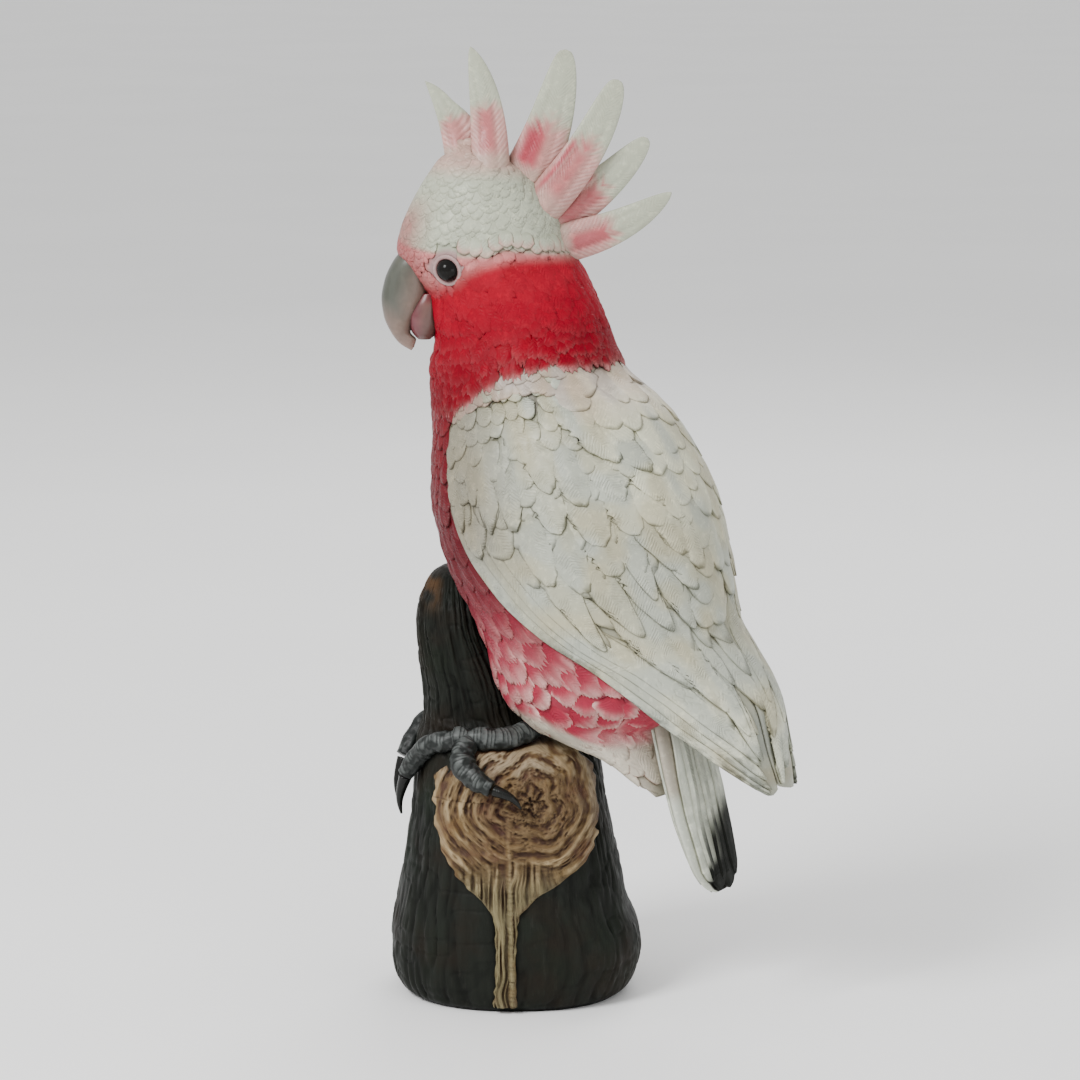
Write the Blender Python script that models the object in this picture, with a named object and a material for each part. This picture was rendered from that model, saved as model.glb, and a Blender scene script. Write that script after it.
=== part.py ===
"""A painted cast-resin garden statue of a galah on a bark stump, 42 cm tall.

Lengths are in millimetres and angles in degrees until a mesh is written. The origin is the middle of
the stump's underside and +Z is up. The head looks along -X. The trunk is turned by TRUNK_YAW, so that
the tail points along +X and towards -Y. The bird is a stack of slanted oval sections: "along" runs from
breast to back, "across" from its left to its right, and a section's angle runs from the breast (0)
round the left side (90) to the back (180).
"""

import bmesh
import bpy
import numpy as np
from mathutils import Vector

MM = 0.001
GAP = 0.3
MOST_SHELL_FACTOR = 2.0

# ---- the bird's pose
BIRD_AXIS_X = 4.6
TRUNK_YAW = 28.0
YAW_FADE = (248.0, 302.0)
RISE = ((222, 0), (258, 8.5), (271.5, 10.5), (294, 6.5), (316, 0))

# ---- outlines of the bird, as (height, along)
BREAST_LINE = (
    (97, 71), (99, 66), (102, 60), (106, 53), (112, 40), (119, 15), (127, 0), (136, -8),
    (158, -14.5), (172, -21), (188, -31), (204, -37), (220, -41), (257, -41.7), (276, -41.8),
    (288, -39), (298, -40.5), (308, -43), (318, -51), (328, -56.4), (338, -54.3), (347, -50.5),
    (355, -46.2), (362, -41.7), (368, -37), (371.5, -31),
)  # fmt: skip
BACK_LINE = (
    (97, 130.4), (106, 128.5), (119, 125.5), (136, 121.7), (146, 117), (158, 108.5), (172, 99.6),
    (188, 96.5), (204, 93), (220, 89), (234, 82.5), (246, 75.5), (257, 68), (266, 58), (276, 45),
    (288, 38.3), (298, 35), (308, 30.5), (318, 26), (328, 20.8), (338, 17.3), (347, 13.3),
    (355, 7.6), (362, 0), (368, -9), (371.5, -17),
)  # fmt: skip
RUMP_LINE = (
    (97, 77), (102, 76), (106, 75), (112, 73.5), (119, 72), (124, 72.5), (129, 84), (136, 99),
    (146, 110), (158, 108.5),
)  # fmt: skip
HALF_WIDTH = (
    (97, 21), (106, 31), (119, 40), (136, 46), (158, 50.5), (172, 52), (204, 53),
    (220, 52), (234, 50), (246, 46.5), (257, 42), (266, 38), (276, 35), (288, 32), (298, 30.5),
    (308, 29.5), (320, 28.5), (330, 27), (338, 25.5), (347, 23), (355, 20), (362, 15.5),
    (368, 10), (371.5, 5),
)  # fmt: skip
RUMP_HALF_WIDTH = (
    (97, 20), (99, 22), (102, 24), (112, 27), (119, 30), (124, 34), (129, 38), (136, 43), (158, 50.5),
)  # fmt: skip
NARROWING = ((97, 0), (204, 0), (234, 0.04), (266, 0.08), (298, 0.12), (328, 0.2), (371.5, 0.1))

# ---- the folded wings, as (height, section angle)
WING_THICKNESS = 4.0
WING_REVEAL = 2.0
MANTLE_REVEAL = 0.4
WING_ROUNDING = 0.8
BED_MARGIN = 0.35
BED_STEP = 0.8
LOWER_EDGE = (
    (101.5, 150), (106, 141), (113.7, 133), (122.6, 127.5), (135.8, 116), (147, 108),
    (158.7, 98.5), (168.7, 86), (182, 72.5), (191, 66.5), (202, 59.5), (214, 55.5), (228, 53),
    (242, 54.5), (254, 57), (262, 62), (267, 70), (271.5, 84),
)  # fmt: skip
LEFT_INNER_EDGE = (
    (101.5, 156), (104, 164), (121, 165), (143, 165), (163, 165), (185, 160), (210, 156),
    (231, 150), (243, 142), (256, 131), (271.5, 134),
)  # fmt: skip
RIGHT_INNER_EDGE = (
    (101.5, 158), (103.5, 186), (106, 194), (121, 194.5), (143, 194.5), (163, 192), (185, 177),
    (210, 158), (231, 150), (243, 142), (256, 131), (271.5, 134),
)  # fmt: skip
MANTLE_FADE = (185.0, 215.0)

# ---- stacks of section heights
TRUNK_HEIGHTS = (
    97, 99, 102, 106, 112, 119, 124, 129, 136, 146, 158, 172, 188, 204, 220, 234, 246, 256, 264,
    271.5 - GAP / 2,
)  # fmt: skip
WING_HEIGHTS = (
    101.5, 103.5, 106, 112, 119, 127, 136, 146, 158, 172, 188, 204, 220, 234, 246, 256, 264,
    271.5 - GAP / 2,
)  # fmt: skip
NECK_HEIGHTS = (271.5 + GAP / 2, 277, 283, 289, 294 - GAP / 2)
HEAD_HEIGHTS = (
    294 + GAP / 2, 300, 306, 312, 318, 324, 330, 337, 344, 350, 356, 361, 365.5, 369, 371.5,
)  # fmt: skip
BREAST_STEPS, BED_STEPS, MANTLE_STEPS, ROUND_STEPS = 8, 8, 4, 28

# ---- eyes and bill
EYE_RADIUS = 5.2
EYE_CENTRE = (-28.3, 19.6, 321.0)
BILL_CUT_DEPTH = 6.0
UPPER_BILL = (
    # outer (x, z), inner (x, z), half width
    ((-51.6, 324.2), (-39.4, 312.2), 8.6),
    ((-56.4, 314.4), (-41.6, 306.4), 8.2),
    ((-57.8, 306.4), (-44.2, 301.1), 7.3),
    ((-56.9, 299.0), (-46.0, 296.0), 6.0),
    ((-54.0, 292.0), (-45.3, 291.6), 4.4),
    ((-49.9, 286.6), (-42.8, 288.4), 2.6),
    ((-45.0, 283.6), (-43.6, 285.4), 0.9),
)
LOWER_BILL = (
    # height, front x, back x, half width
    (309.0, -42.0, -31.0, 6.2),
    (304.0, -45.0, -31.0, 7.2),
    (299.0, -47.0, -31.0, 7.4),
    (294.5, -46.0, -32.0, 6.6),
    (291.0, -44.2, -34.0, 5.0),
    (288.6, -42.0, -36.5, 2.6),
)

# ---- crest feathers: root, bend and tip as (x, z), width at the root and near the tip,
# bluntness of the tip, side (+Y or -Y)
CREST_FEATHERS = (
    ((-23.0, 358.0), (-24.5, 387.0), (-38.6, 400.0), 13.5, 9.0, 0.9, 1),
    ((-11.0, 357.0), (-9.2, 390.0), (-19.0, 415.0), 18.0, 11.5, 0.7, -1),
    ((1.0, 350.0), (17.5, 378.0), (22.0, 413.5), 25.0, 15.0, 0.36, 1),
    ((10.5, 346.0), (34.0, 369.0), (44.2, 401.0), 19.0, 14.5, 0.36, -1),
    ((12.0, 337.5), (38.0, 351.5), (57.2, 375.5), 20.0, 13.0, 0.4, 1),
    ((12.0, 330.0), (42.0, 332.0), (67.5, 352.5), 19.0, 12.5, 0.62, -1),
)
CREST_THICKNESS = 4.4
CREST_STAGGER = 2.5
CREST_STEPS = 9

# ---- tail, as (height, front along, back along, half width)
TAIL = (
    (132.0, 68.5, 78.0, 20.5),
    (118.0, 72.5, 82.0, 22.0),
    (106.0, 75.8, 85.0, 22.8),
    (97.0, 78.5, 87.4, 23.0),
    (88.0, 81.5, 89.2, 23.0),
    (78.0, 85.5, 91.8, 22.4),
    (68.0, 89.5, 94.4, 21.0),
    (61.0, 92.4, 96.2, 18.0),
    (56.5, 94.0, 97.0, 12.5),
    (54.2, 95.0, 97.2, 6.0),
)
TAIL_STEPS = 16

# ---- stump, as (height, left x, right x, front y, back y, fall from left to right)
STUMP = (
    (0, -46, 46, -47, 44, 0),
    (3, -50.5, 50.5, -50, 47, 0),
    (10, -54, 54, -52.5, 49, 0),
    (20, -55.2, 56.2, -53, 50, 0),
    (28, -55, 55.3, -52.5, 50, 0),
    (40, -53, 50.5, -51, 48.5, 0),
    (55, -50.5, 47, -49, 46.5, 0),
    (72, -47.8, 43.2, -46.5, 44, 0),
    (89, -45.5, 40, -44, 42, 0.5),
    (102, -44.2, 38.2, -41.5, 40.5, 2),
    (109, -43.6, 36.5, -39, 39.6, 3),
    (113, -42.6, 33, -35.5, 38.8, 3.5),
    (115.5, -41.6, 24, -28, 38.4, 3),
    (118, -41.2, 15, -20, 38, 2),
    (124, -41.0, 9, -17, 37.6, 0),
    (134, -41.4, 5, -16, 37, 0),
    (146, -43.0, 0, -15, 36.4, 0),
    (160, -44.0, -6, -13.5, 35, 0),
    (170, -43.0, -10, -11, 33, 0),
    (178, -40.0, -14, -6, 29.5, 0),
    (183.5, -36.5, -18, 0.5, 24.5, 0),
    (186.5, -32.0, -23, 7, 18.5, 0),
)
STUMP_STEPS = 28
STUMP_SQUARENESS = 2.3
STUMP_CLEARANCE = 0.7

# ---- the bare cut wood on the stump's front, as (height, left x, right x)
CUT_WOOD = (
    (3, -9.5, 1),
    (12, -8.6, 0.5),
    (28, -8.2, 0.6),
    (42, -9.2, 1.6),
    (50, -14, 8),
    (57, -22, 20),
    (64, -28, 30),
    (74, -32.5, 35.5),
    (86, -35, 36.2),
    (98, -35.2, 35),
    (106, -31, 32.5),
    (111, -22, 27),
)
CUT_WOOD_RELIEF = 2.6
CUT_WOOD_STEPS = 8

# ---- feet: each path as (x, y, z, radius)
SHANK = ((12, -24, 117.5, 4.6), (0, -33.5, 118, 4.9), (-14, -35, 118.5, 5.0), (-26, -32, 118.5, 4.8))
OUTER_TOE = ((-20, -34, 118, 4.3), (-33, -29.5, 117, 4.5), (-42.5, -22, 110, 4.4), (-47.5, -17, 99.5, 3.8))
INNER_TOE = ((-20, -34, 118, 4.3), (-24, -40, 111, 4.5), (-19, -47, 104, 4.3), (-10, -50.2, 100, 3.6))
OUTER_CLAW = ((-47.9, -16.6, 98.2, 2.9), (-50.2, -14.5, 91.5, 2.2), (-51, -12.5, 84.5, 1.2), (-50, -11.2, 80, 0.5))
INNER_CLAW = ((-8.8, -50.6, 99.4, 2.7), (-3.6, -53, 98.2, 2.1), (0.8, -53.4, 95.2, 1.2), (2.6, -52.8, 92, 0.5))
TOE_SIDES = 2
FAR_FOOT_SHIFT_X = -2.0
FAR_FOOT_MIRROR_Y = 1.5

COLOURS = {
    "cap": (0.52, 0.54, 0.46),
    "red": (0.45, 0.03, 0.035),
    "pink": (0.40, 0.17, 0.16),
    "wing": (0.50, 0.50, 0.43),
    "tail": (0.40, 0.42, 0.37),
    "horn": (0.19, 0.19, 0.165),
    "eye": (0.012, 0.012, 0.011),
    "bark": (0.022, 0.024, 0.020),
    "cut_wood": (0.16, 0.105, 0.055),
    "foot": (0.055, 0.06, 0.058),
    "claw": (0.018, 0.019, 0.016),
}
ROUGHNESS = {"eye": 0.08, "bark": 0.55, "horn": 0.3}
PAINT_ROUGHNESS = 0.4


# ---------------------------------------------------------------- sections


def smooth(edge_low, edge_high, value):
    part = np.clip((value - edge_low) / (edge_high - edge_low), 0.0, 1.0)
    return part * part * (3 - 2 * part)


def curve_through(pairs, at):
    """A monotone cubic through (place, value) pairs, which never swings past them."""
    place, value = np.array(pairs, float).T
    step = np.diff(place)
    slope = np.diff(value) / step
    tangent = np.empty_like(value)
    tangent[0], tangent[-1] = slope[0], slope[-1]
    before, after = slope[:-1], slope[1:]
    same_way = before * after > 0
    weight_a, weight_b = 2 * step[1:] + step[:-1], step[1:] + 2 * step[:-1]
    safe_before, safe_after = np.where(same_way, before, 1), np.where(same_way, after, 1)
    mean = (weight_a + weight_b) / (weight_a / safe_before + weight_b / safe_after)
    tangent[1:-1] = np.where(same_way, mean, 0)
    at = np.clip(at, place[0], place[-1])
    k = np.clip(np.searchsorted(place, at) - 1, 0, len(step) - 1)
    t = (at - place[k]) / step[k]
    bend = step[k] * ((t - 2 * t**2 + t**3) * tangent[k] + (t**3 - t**2) * tangent[k + 1])
    return value[k] * (1 - 3 * t**2 + 2 * t**3) + value[k + 1] * (3 * t**2 - 2 * t**3) + bend


def rise_at(height):
    """How far a section slants: its breast end lies this much lower, and its back end higher."""
    return curve_through(RISE, height)


def turned(along, across, height, yaw):
    """The world point of one in the bird's own frame."""
    yaw = np.radians(yaw)
    x = BIRD_AXIS_X + along * np.cos(yaw) + across * np.sin(yaw)
    y = -along * np.sin(yaw) + across * np.cos(yaw)
    return np.stack([x, y, height + 0 * x], axis=-1)


def bird_ring(height, angles, inset, rump=False):
    """One oval section through the bird, drawn in by inset."""
    rise = rise_at(height)
    angles = np.radians(angles)
    front = curve_through(BREAST_LINE, height - rise)
    back = curve_through(BACK_LINE, height + rise)
    half_width = curve_through(HALF_WIDTH, height)
    if rump and height < RUMP_LINE[-1][0]:
        back = curve_through(RUMP_LINE, height)
        half_width = curve_through(RUMP_HALF_WIDTH, height)
    narrowing = curve_through(NARROWING, height)
    half_length = (back - front) / 2
    backward = -(half_length - inset) * np.cos(angles)
    across = -(half_width - inset) * np.sin(angles) * (1 - narrowing * np.cos(angles))
    yaw = TRUNK_YAW * (1 - smooth(*YAW_FADE, height))
    return turned((front + back) / 2 + backward, across, height + rise * backward / half_length, yaw)


# ---------------------------------------------------------------- objects


def new_collection(name):
    collection = bpy.data.collections.new(name)
    bpy.context.scene.collection.children.link(collection)
    return collection


def paint(name):
    material = bpy.data.materials.get(name)
    if material is None:
        material = bpy.data.materials.new(name)
        material.use_nodes = True
        shader = material.node_tree.nodes["Principled BSDF"]
        shader.inputs["Base Color"].default_value = (*COLOURS[name], 1)
        shader.inputs["Roughness"].default_value = ROUGHNESS.get(name, PAINT_ROUGHNESS)
        material.diffuse_color = (*COLOURS[name], 1)
    return material


def keep(bm, name, collection, colour):
    """Writes the bmesh, given in millimetres, as an object in metres."""
    bmesh.ops.scale(bm, vec=(MM, MM, MM), verts=bm.verts)
    bmesh.ops.recalc_face_normals(bm, faces=bm.faces)
    mesh = bpy.data.meshes.new(name)
    bm.to_mesh(mesh)
    bm.free()
    for polygon in mesh.polygons:
        polygon.use_smooth = True
    mesh.materials.append(paint(colour))
    obj = bpy.data.objects.new(name, mesh)
    collection.objects.link(obj)
    return obj


def loft(name, rings, collection, colour):
    """A closed solid through a stack of rings with the same number of points."""
    bm = bmesh.new()
    stack = [[bm.verts.new(Vector(point)) for point in ring] for ring in rings]
    for lower, upper in zip(stack[:-1], stack[1:]):
        for k in range(len(lower)):
            after = (k + 1) % len(lower)
            bm.faces.new((lower[k], lower[after], upper[after], upper[k]))
    bm.faces.new(stack[0])
    bm.faces.new(stack[-1])
    return keep(bm, name, collection, colour)


def settled(obj):
    """The object's mesh as its modifiers leave it, in a new bmesh, in metres."""
    graph = bpy.context.evaluated_depsgraph_get()
    bm = bmesh.new()
    mesh = bpy.data.meshes.new_from_object(obj.evaluated_get(graph))
    mesh.transform(obj.matrix_world)
    bm.from_mesh(mesh)
    bpy.data.meshes.remove(mesh)
    bmesh.ops.remove_doubles(bm, verts=bm.verts, dist=1e-6)
    return bm


def grown_cutter(obj, cutters, gap=GAP):
    """A copy of the object that is larger by the gap all round, to trim its neighbours with."""
    bm = settled(obj)
    bm.normal_update()
    for vert in bm.verts:
        vert.co += vert.normal * gap * min(vert.calc_shell_factor(), MOST_SHELL_FACTOR) * MM
    bmesh.ops.scale(bm, vec=(1 / MM, 1 / MM, 1 / MM), verts=bm.verts)
    cutter = keep(bm, f"cutter_{obj.name}_{len(cutters.objects)}", cutters, "claw")
    cutter.hide_render = True
    cutter.display_type = "WIRE"
    return cutter


def trim(obj, cutter, operation="DIFFERENCE"):
    """Applies one Boolean to the object at once, so that later cutters see its result."""
    modifier = obj.modifiers.new("trim", "BOOLEAN")
    modifier.operation = operation
    modifier.solver = "EXACT"
    modifier.object = cutter
    bm = settled(obj)
    obj.modifiers.clear()
    bm.to_mesh(obj.data)
    bm.free()


def tube(name, path, collection, colour):
    """A round limb along a path whose radius changes from point to point."""
    curve = bpy.data.curves.new(name, "CURVE")
    curve.dimensions = "3D"
    curve.bevel_depth = MM
    curve.bevel_resolution = TOE_SIDES
    curve.use_fill_caps = True
    curve.resolution_u = 3
    spline = curve.splines.new("NURBS")
    spline.points.add(len(path) - 1)
    for point, (x, y, z, radius) in zip(spline.points, path):
        point.co = (x * MM, y * MM, z * MM, 1)
        point.radius = radius
    spline.order_u = 3
    spline.use_endpoint_u = True
    guide = bpy.data.objects.new(f"{name}_path", curve)
    collection.objects.link(guide)
    bpy.context.view_layer.update()
    bm = settled(guide)
    bpy.data.objects.remove(guide)
    bmesh.ops.scale(bm, vec=(1 / MM, 1 / MM, 1 / MM), verts=bm.verts)
    return keep(bm, name, collection, colour)


# ---------------------------------------------------------------- the bird


def spread(start, end, steps):
    return np.linspace(start, end, steps, endpoint=False)


def bed_angles(height):
    """The section angles of the left and the right wing's bed, both going round from the left side."""
    lower = curve_through(LOWER_EDGE, height)
    left_inner = curve_through(LEFT_INNER_EDGE, height)
    right_inner = curve_through(RIGHT_INNER_EDGE, height)
    left = np.linspace(lower, left_inner, BED_STEPS + 1)
    right = np.linspace(360 - right_inner, 360 - lower, BED_STEPS + 1)
    return left, right


def trunk_ring(height):
    """A trunk section, sunk under each wing so that the wing lies in a bed."""
    left, right = bed_angles(height)
    step = min(BED_STEP, (right[0] - left[-1]) / 4)
    angles = np.concatenate([
        np.linspace(right[-1] + BED_STEP - 360, left[0] - BED_STEP, BREAST_STEPS + 1),
        left, np.linspace(left[-1] + step, right[0] - step, MANTLE_STEPS), right,
    ])  # fmt: skip
    bed = WING_THICKNESS + GAP
    breast = WING_REVEAL * np.linspace(-1, 1, BREAST_STEPS + 1) ** 4
    mantle = MANTLE_REVEAL + (bed - MANTLE_REVEAL) * (1 - smooth(*MANTLE_FADE, height))
    inset = np.concatenate([
        breast, np.full(BED_STEPS + 1, bed), np.full(MANTLE_STEPS, mantle),
        np.full(BED_STEPS + 1, bed),
    ])  # fmt: skip
    return bird_ring(height, angles, inset, rump=True)


def wing_ring(height, side):
    """A wing section: back along the outer face, then out along the inner one, over the trunk's bed."""
    angles = bed_angles(height)[side].copy()
    angles[0] += BED_MARGIN
    angles[-1] -= BED_MARGIN
    rounding = np.array([WING_ROUNDING] + [0.0] * (BED_STEPS - 1) + [WING_ROUNDING])
    outer_face = bird_ring(height, angles[::-1], rounding)
    inner_face = bird_ring(height, angles, WING_THICKNESS)
    return np.concatenate([outer_face, inner_face])


def round_ring(height, inset=0.0):
    return bird_ring(height, spread(0, 360, ROUND_STEPS), inset)


def make_trunk(collection):
    return loft("trunk", [trunk_ring(height) for height in TRUNK_HEIGHTS], collection, "pink")


def make_wings(collection):
    for side, name in enumerate(("wing_left", "wing_right")):
        loft(name, [wing_ring(height, side) for height in WING_HEIGHTS], collection, "wing")


def make_neck(collection):
    return loft("neck", [round_ring(height) for height in NECK_HEIGHTS], collection, "red")


def make_head(collection):
    return loft("head", [round_ring(height) for height in HEAD_HEIGHTS], collection, "cap")


def make_tail(collection, cutters, trunk):
    """A tapering plate, rounder at its end, whose root is trimmed by the rump."""
    angles = np.radians(spread(0, 360, TAIL_STEPS))
    rings = []
    for height, front, back, half_width in TAIL:
        along = (front + back) / 2 - (back - front) / 2 * np.cos(angles)
        across = -half_width * np.sign(np.sin(angles)) * np.abs(np.sin(angles)) ** 0.6
        rings.append(turned(along, across, height, TRUNK_YAW))
    trim(loft("tail", rings, collection, "tail"), grown_cutter(trunk, cutters))


def make_eyes(collection, cutters, head):
    x, across, height = EYE_CENTRE
    for name, side in (("eye_left", -1), ("eye_right", 1)):
        bm = bmesh.new()
        bmesh.ops.create_uvsphere(bm, u_segments=14, v_segments=9, radius=EYE_RADIUS)
        bmesh.ops.translate(bm, vec=(x, side * across, height), verts=bm.verts)
        eye = keep(bm, name, collection, "eye")
        trim(head, grown_cutter(eye, cutters))


def make_bill(collection, cutters, head):
    """Both halves of the bill run into the head and are trimmed by it."""
    angles = np.radians(spread(0, 360, 14))
    rings = []
    (outer, inner, half_width) = UPPER_BILL[0]
    into_head = np.array([1.0, 1.0]) / np.sqrt(2) * BILL_CUT_DEPTH
    sections = [(np.array(outer) + into_head, np.array(inner) + into_head, half_width)]
    for outer, inner, half_width in [*sections, *UPPER_BILL]:
        outer, inner = np.array(outer), np.array(inner)
        middle, reach = (outer + inner) / 2, (outer - inner) / 2
        in_plane = middle + reach * np.cos(angles)[:, None]
        rings.append(np.stack([in_plane[:, 0], half_width * np.sin(angles), in_plane[:, 1]], axis=-1))
    upper = loft("upper_bill", rings, collection, "horn")
    rings = []
    for height, front, back, half_width in LOWER_BILL:
        x = (front + back) / 2 + (back - front) / 2 * np.cos(angles)
        rings.append(np.stack([x, half_width * np.sin(angles), height + 0 * x], axis=-1))
    lower = loft("lower_bill", rings, collection, "horn")
    trim(upper, grown_cutter(head, cutters))
    trim(lower, grown_cutter(head, cutters))
    trim(lower, grown_cutter(upper, cutters))


def make_crest(collection, cutters, head):
    """Each crest feather is a lens section swept along a bent line, in one of two upright planes."""
    angles = np.radians(spread(0, 360, 10))
    head_cutter = grown_cutter(head, cutters)
    for number, feather in enumerate(CREST_FEATHERS, 1):
        *line, root_width, tip_width, bluntness, side = feather
        root, bend, tip = (np.array(point) for point in line)
        rings = []
        for t in np.linspace(0, 1, CREST_STEPS):
            centre = root * (1 - t) ** 2 + 2 * bend * t * (1 - t) + tip * t**2
            ahead = 2 * (bend - root) * (1 - t) + 2 * (tip - bend) * t
            ahead /= np.linalg.norm(ahead)
            sideways = np.array([ahead[1], -ahead[0]])
            taper = max((1 - t**4) ** bluntness, 0.07)
            reach = (root_width * (1 - t) + tip_width * t) / 2 * taper
            thick = CREST_THICKNESS / 2 * max((1 - t**4) ** 0.7, 0.3)
            in_plane = centre + sideways * (reach * np.cos(angles))[:, None]
            y = side * CREST_STAGGER + thick * np.sin(angles)
            rings.append(np.stack([in_plane[:, 0], y, in_plane[:, 1]], axis=-1))
        trim(loft(f"crest_feather_{number}", rings, collection, "cap"), head_cutter)


# ---------------------------------------------------------------- the stump


def stump_ring(height, left, right, front, back, fall):
    angles = np.radians(spread(0, 360, STUMP_STEPS))
    power = 2 / STUMP_SQUARENESS
    side = np.sign(np.cos(angles)) * np.abs(np.cos(angles)) ** power
    depth = np.sign(np.sin(angles)) * np.abs(np.sin(angles)) ** power
    x = (left + right) / 2 + (right - left) / 2 * side
    y = (front + back) / 2 + (back - front) / 2 * depth
    return np.stack([x, y, height - fall * side], axis=-1)


def stump_front(x, height):
    """The y of the stump's front at this x and height."""
    table = np.array(STUMP, float)
    left, right, front, back = (np.interp(height, table[:, 0], table[:, k]) for k in (1, 2, 3, 4))
    side = np.clip(np.abs(x - (left + right) / 2) / ((right - left) / 2), 0, 1)
    depth = (1 - side**STUMP_SQUARENESS) ** (1 / STUMP_SQUARENESS)
    return (front + back) / 2 - (back - front) / 2 * depth


def make_stump(collection):
    return loft("stump", [stump_ring(*row) for row in STUMP], collection, "bark")


def make_cut_wood(collection, cutters, stump):
    """A relief that follows the stump's front and is trimmed by it."""
    rings = []
    for height, left, right in CUT_WOOD:
        x = np.linspace(left, right, CUT_WOOD_STEPS + 1)
        y = stump_front(x, height)
        rim = np.array([0.9] + [0.0] * (CUT_WOOD_STEPS - 1) + [0.9])
        outer = np.stack([x, y - CUT_WOOD_RELIEF + rim, height + 0 * x], axis=-1)
        inner = np.stack([x, y + 1.5, height + 0 * x], axis=-1)[::-1]
        rings.append(np.concatenate([outer, inner]))
    relief = loft("cut_wood", rings, collection, "cut_wood")
    whole_relief = grown_cutter(relief, cutters)
    trim(relief, grown_cutter(stump, cutters))
    return whole_relief


def to_far_side(path):
    return tuple((x + FAR_FOOT_SHIFT_X, FAR_FOOT_MIRROR_Y - y, z, radius) for x, y, z, radius in path)


def make_legs(collection, cutters, trimmers):
    """Each leg is a shank and two toes in one piece, with two claws of their own."""
    for side, place in (("left", tuple), ("right", to_far_side)):
        leg = tube(f"leg_{side}", place(SHANK), collection, "foot")
        for toe in (OUTER_TOE, INNER_TOE):
            other = tube("toe", place(toe), collection, "foot")
            trim(leg, other, "UNION")
            bpy.data.objects.remove(other)
        for trimmer in trimmers:
            trim(leg, trimmer)
        leg_trimmer = grown_cutter(leg, cutters)
        for claw_name, path in (("outer", OUTER_CLAW), ("inner", INNER_CLAW)):
            claw = tube(f"claw_{claw_name}_{side}", place(path), collection, "claw")
            for trimmer in [*trimmers, leg_trimmer]:
                trim(claw, trimmer)


# ---------------------------------------------------------------- assembly


def main():
    for obj in list(bpy.data.objects):
        bpy.data.objects.remove(obj)
    bpy.context.scene.unit_settings.scale_length = 1.0
    parts = new_collection("galah_statue")
    cutters = new_collection("cutters")

    trunk = make_trunk(parts)
    make_wings(parts)
    make_neck(parts)
    head = make_head(parts)
    make_bill(parts, cutters, head)
    make_crest(parts, cutters, head)
    make_eyes(parts, cutters, head)
    make_tail(parts, cutters, trunk)

    stump = make_stump(parts)
    trim(stump, grown_cutter(trunk, cutters, STUMP_CLEARANCE))
    cut_wood_cutter = make_cut_wood(parts, cutters, stump)
    trimmers = (grown_cutter(trunk, cutters), grown_cutter(stump, cutters), cut_wood_cutter)
    make_legs(parts, cutters, trimmers)


main()
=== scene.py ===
"""The finish of a painted cast-resin statue of a galah on a bark stump.

It is laid out as a Blender add-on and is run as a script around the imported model. Lengths are in
millimetres and angles in degrees until a mesh is written. A place on the bird is (height, angle): an
oval section's height, and the angle round it from the breast (0) over the left side (90) to the back
(180). The carved feathers are closed vanes that lie on that surface in overlapping rows.
"""

from typing import NamedTuple

import bpy
import numpy as np
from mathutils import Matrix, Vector


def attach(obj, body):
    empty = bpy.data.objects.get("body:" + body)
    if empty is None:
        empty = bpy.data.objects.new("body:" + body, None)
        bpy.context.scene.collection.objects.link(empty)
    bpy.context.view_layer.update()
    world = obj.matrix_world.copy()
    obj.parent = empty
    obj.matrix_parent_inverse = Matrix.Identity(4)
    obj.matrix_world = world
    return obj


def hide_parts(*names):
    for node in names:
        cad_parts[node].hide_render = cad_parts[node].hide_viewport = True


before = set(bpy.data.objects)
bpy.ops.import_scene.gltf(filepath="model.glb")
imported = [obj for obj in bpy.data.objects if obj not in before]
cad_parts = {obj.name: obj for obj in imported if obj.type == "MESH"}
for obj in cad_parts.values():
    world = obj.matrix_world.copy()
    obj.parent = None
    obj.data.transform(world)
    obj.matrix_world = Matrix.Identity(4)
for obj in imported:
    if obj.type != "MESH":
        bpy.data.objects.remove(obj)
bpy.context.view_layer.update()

bl_info = {
    "name": "Galah statue",
    "version": (1, 0, 0),
    "blender": (4, 5, 0),
    "location": "3D View > Sidebar > Statue",
    "description": "Builds the carved and painted surfaces of a resin galah on a stump",
    "category": "Object",
}

MM = 0.001
SEED = 41
NOISE_CELLS = 64  # the noise repeats after as many cells

# ---- the bird's sections, which follow the frame's solids
BIRD_AXIS_X = 4.6
TRUNK_YAW = 28.0
YAW_FADE = (248, 302)
RISE = ((222, 0), (258, 8.5), (271.5, 10.5), (294, 6.5), (316, 0))
BREAST_LINE = (
    (97, 71), (99, 66), (102, 60), (106, 53), (112, 40), (119, 15), (127, 0), (136, -8),
    (158, -14.5), (172, -21), (188, -31), (204, -37), (220, -41), (257, -41.7), (276, -41.8),
    (288, -39), (298, -40.5), (308, -43), (318, -51), (328, -56.4), (338, -54.3), (347, -50.5),
    (355, -46.2), (362, -41.7), (368, -37), (371.5, -31),
)
BACK_LINE = (
    (97, 130.4), (106, 128.5), (119, 125.5), (136, 121.7), (146, 117), (158, 108.5), (172, 99.6),
    (188, 96.5), (204, 93), (220, 89), (234, 82.5), (246, 75.5), (257, 68), (266, 58), (276, 45),
    (288, 38.3), (298, 35), (308, 30.5), (318, 26), (328, 20.8), (338, 17.3), (347, 13.3),
    (355, 7.6), (362, 0), (368, -9), (371.5, -17),
)
RUMP_LINE = (
    (97, 77), (102, 76), (106, 75), (112, 73.5), (119, 72), (124, 72.5), (129, 84), (136, 99),
    (146, 110), (158, 108.5),
)
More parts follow.
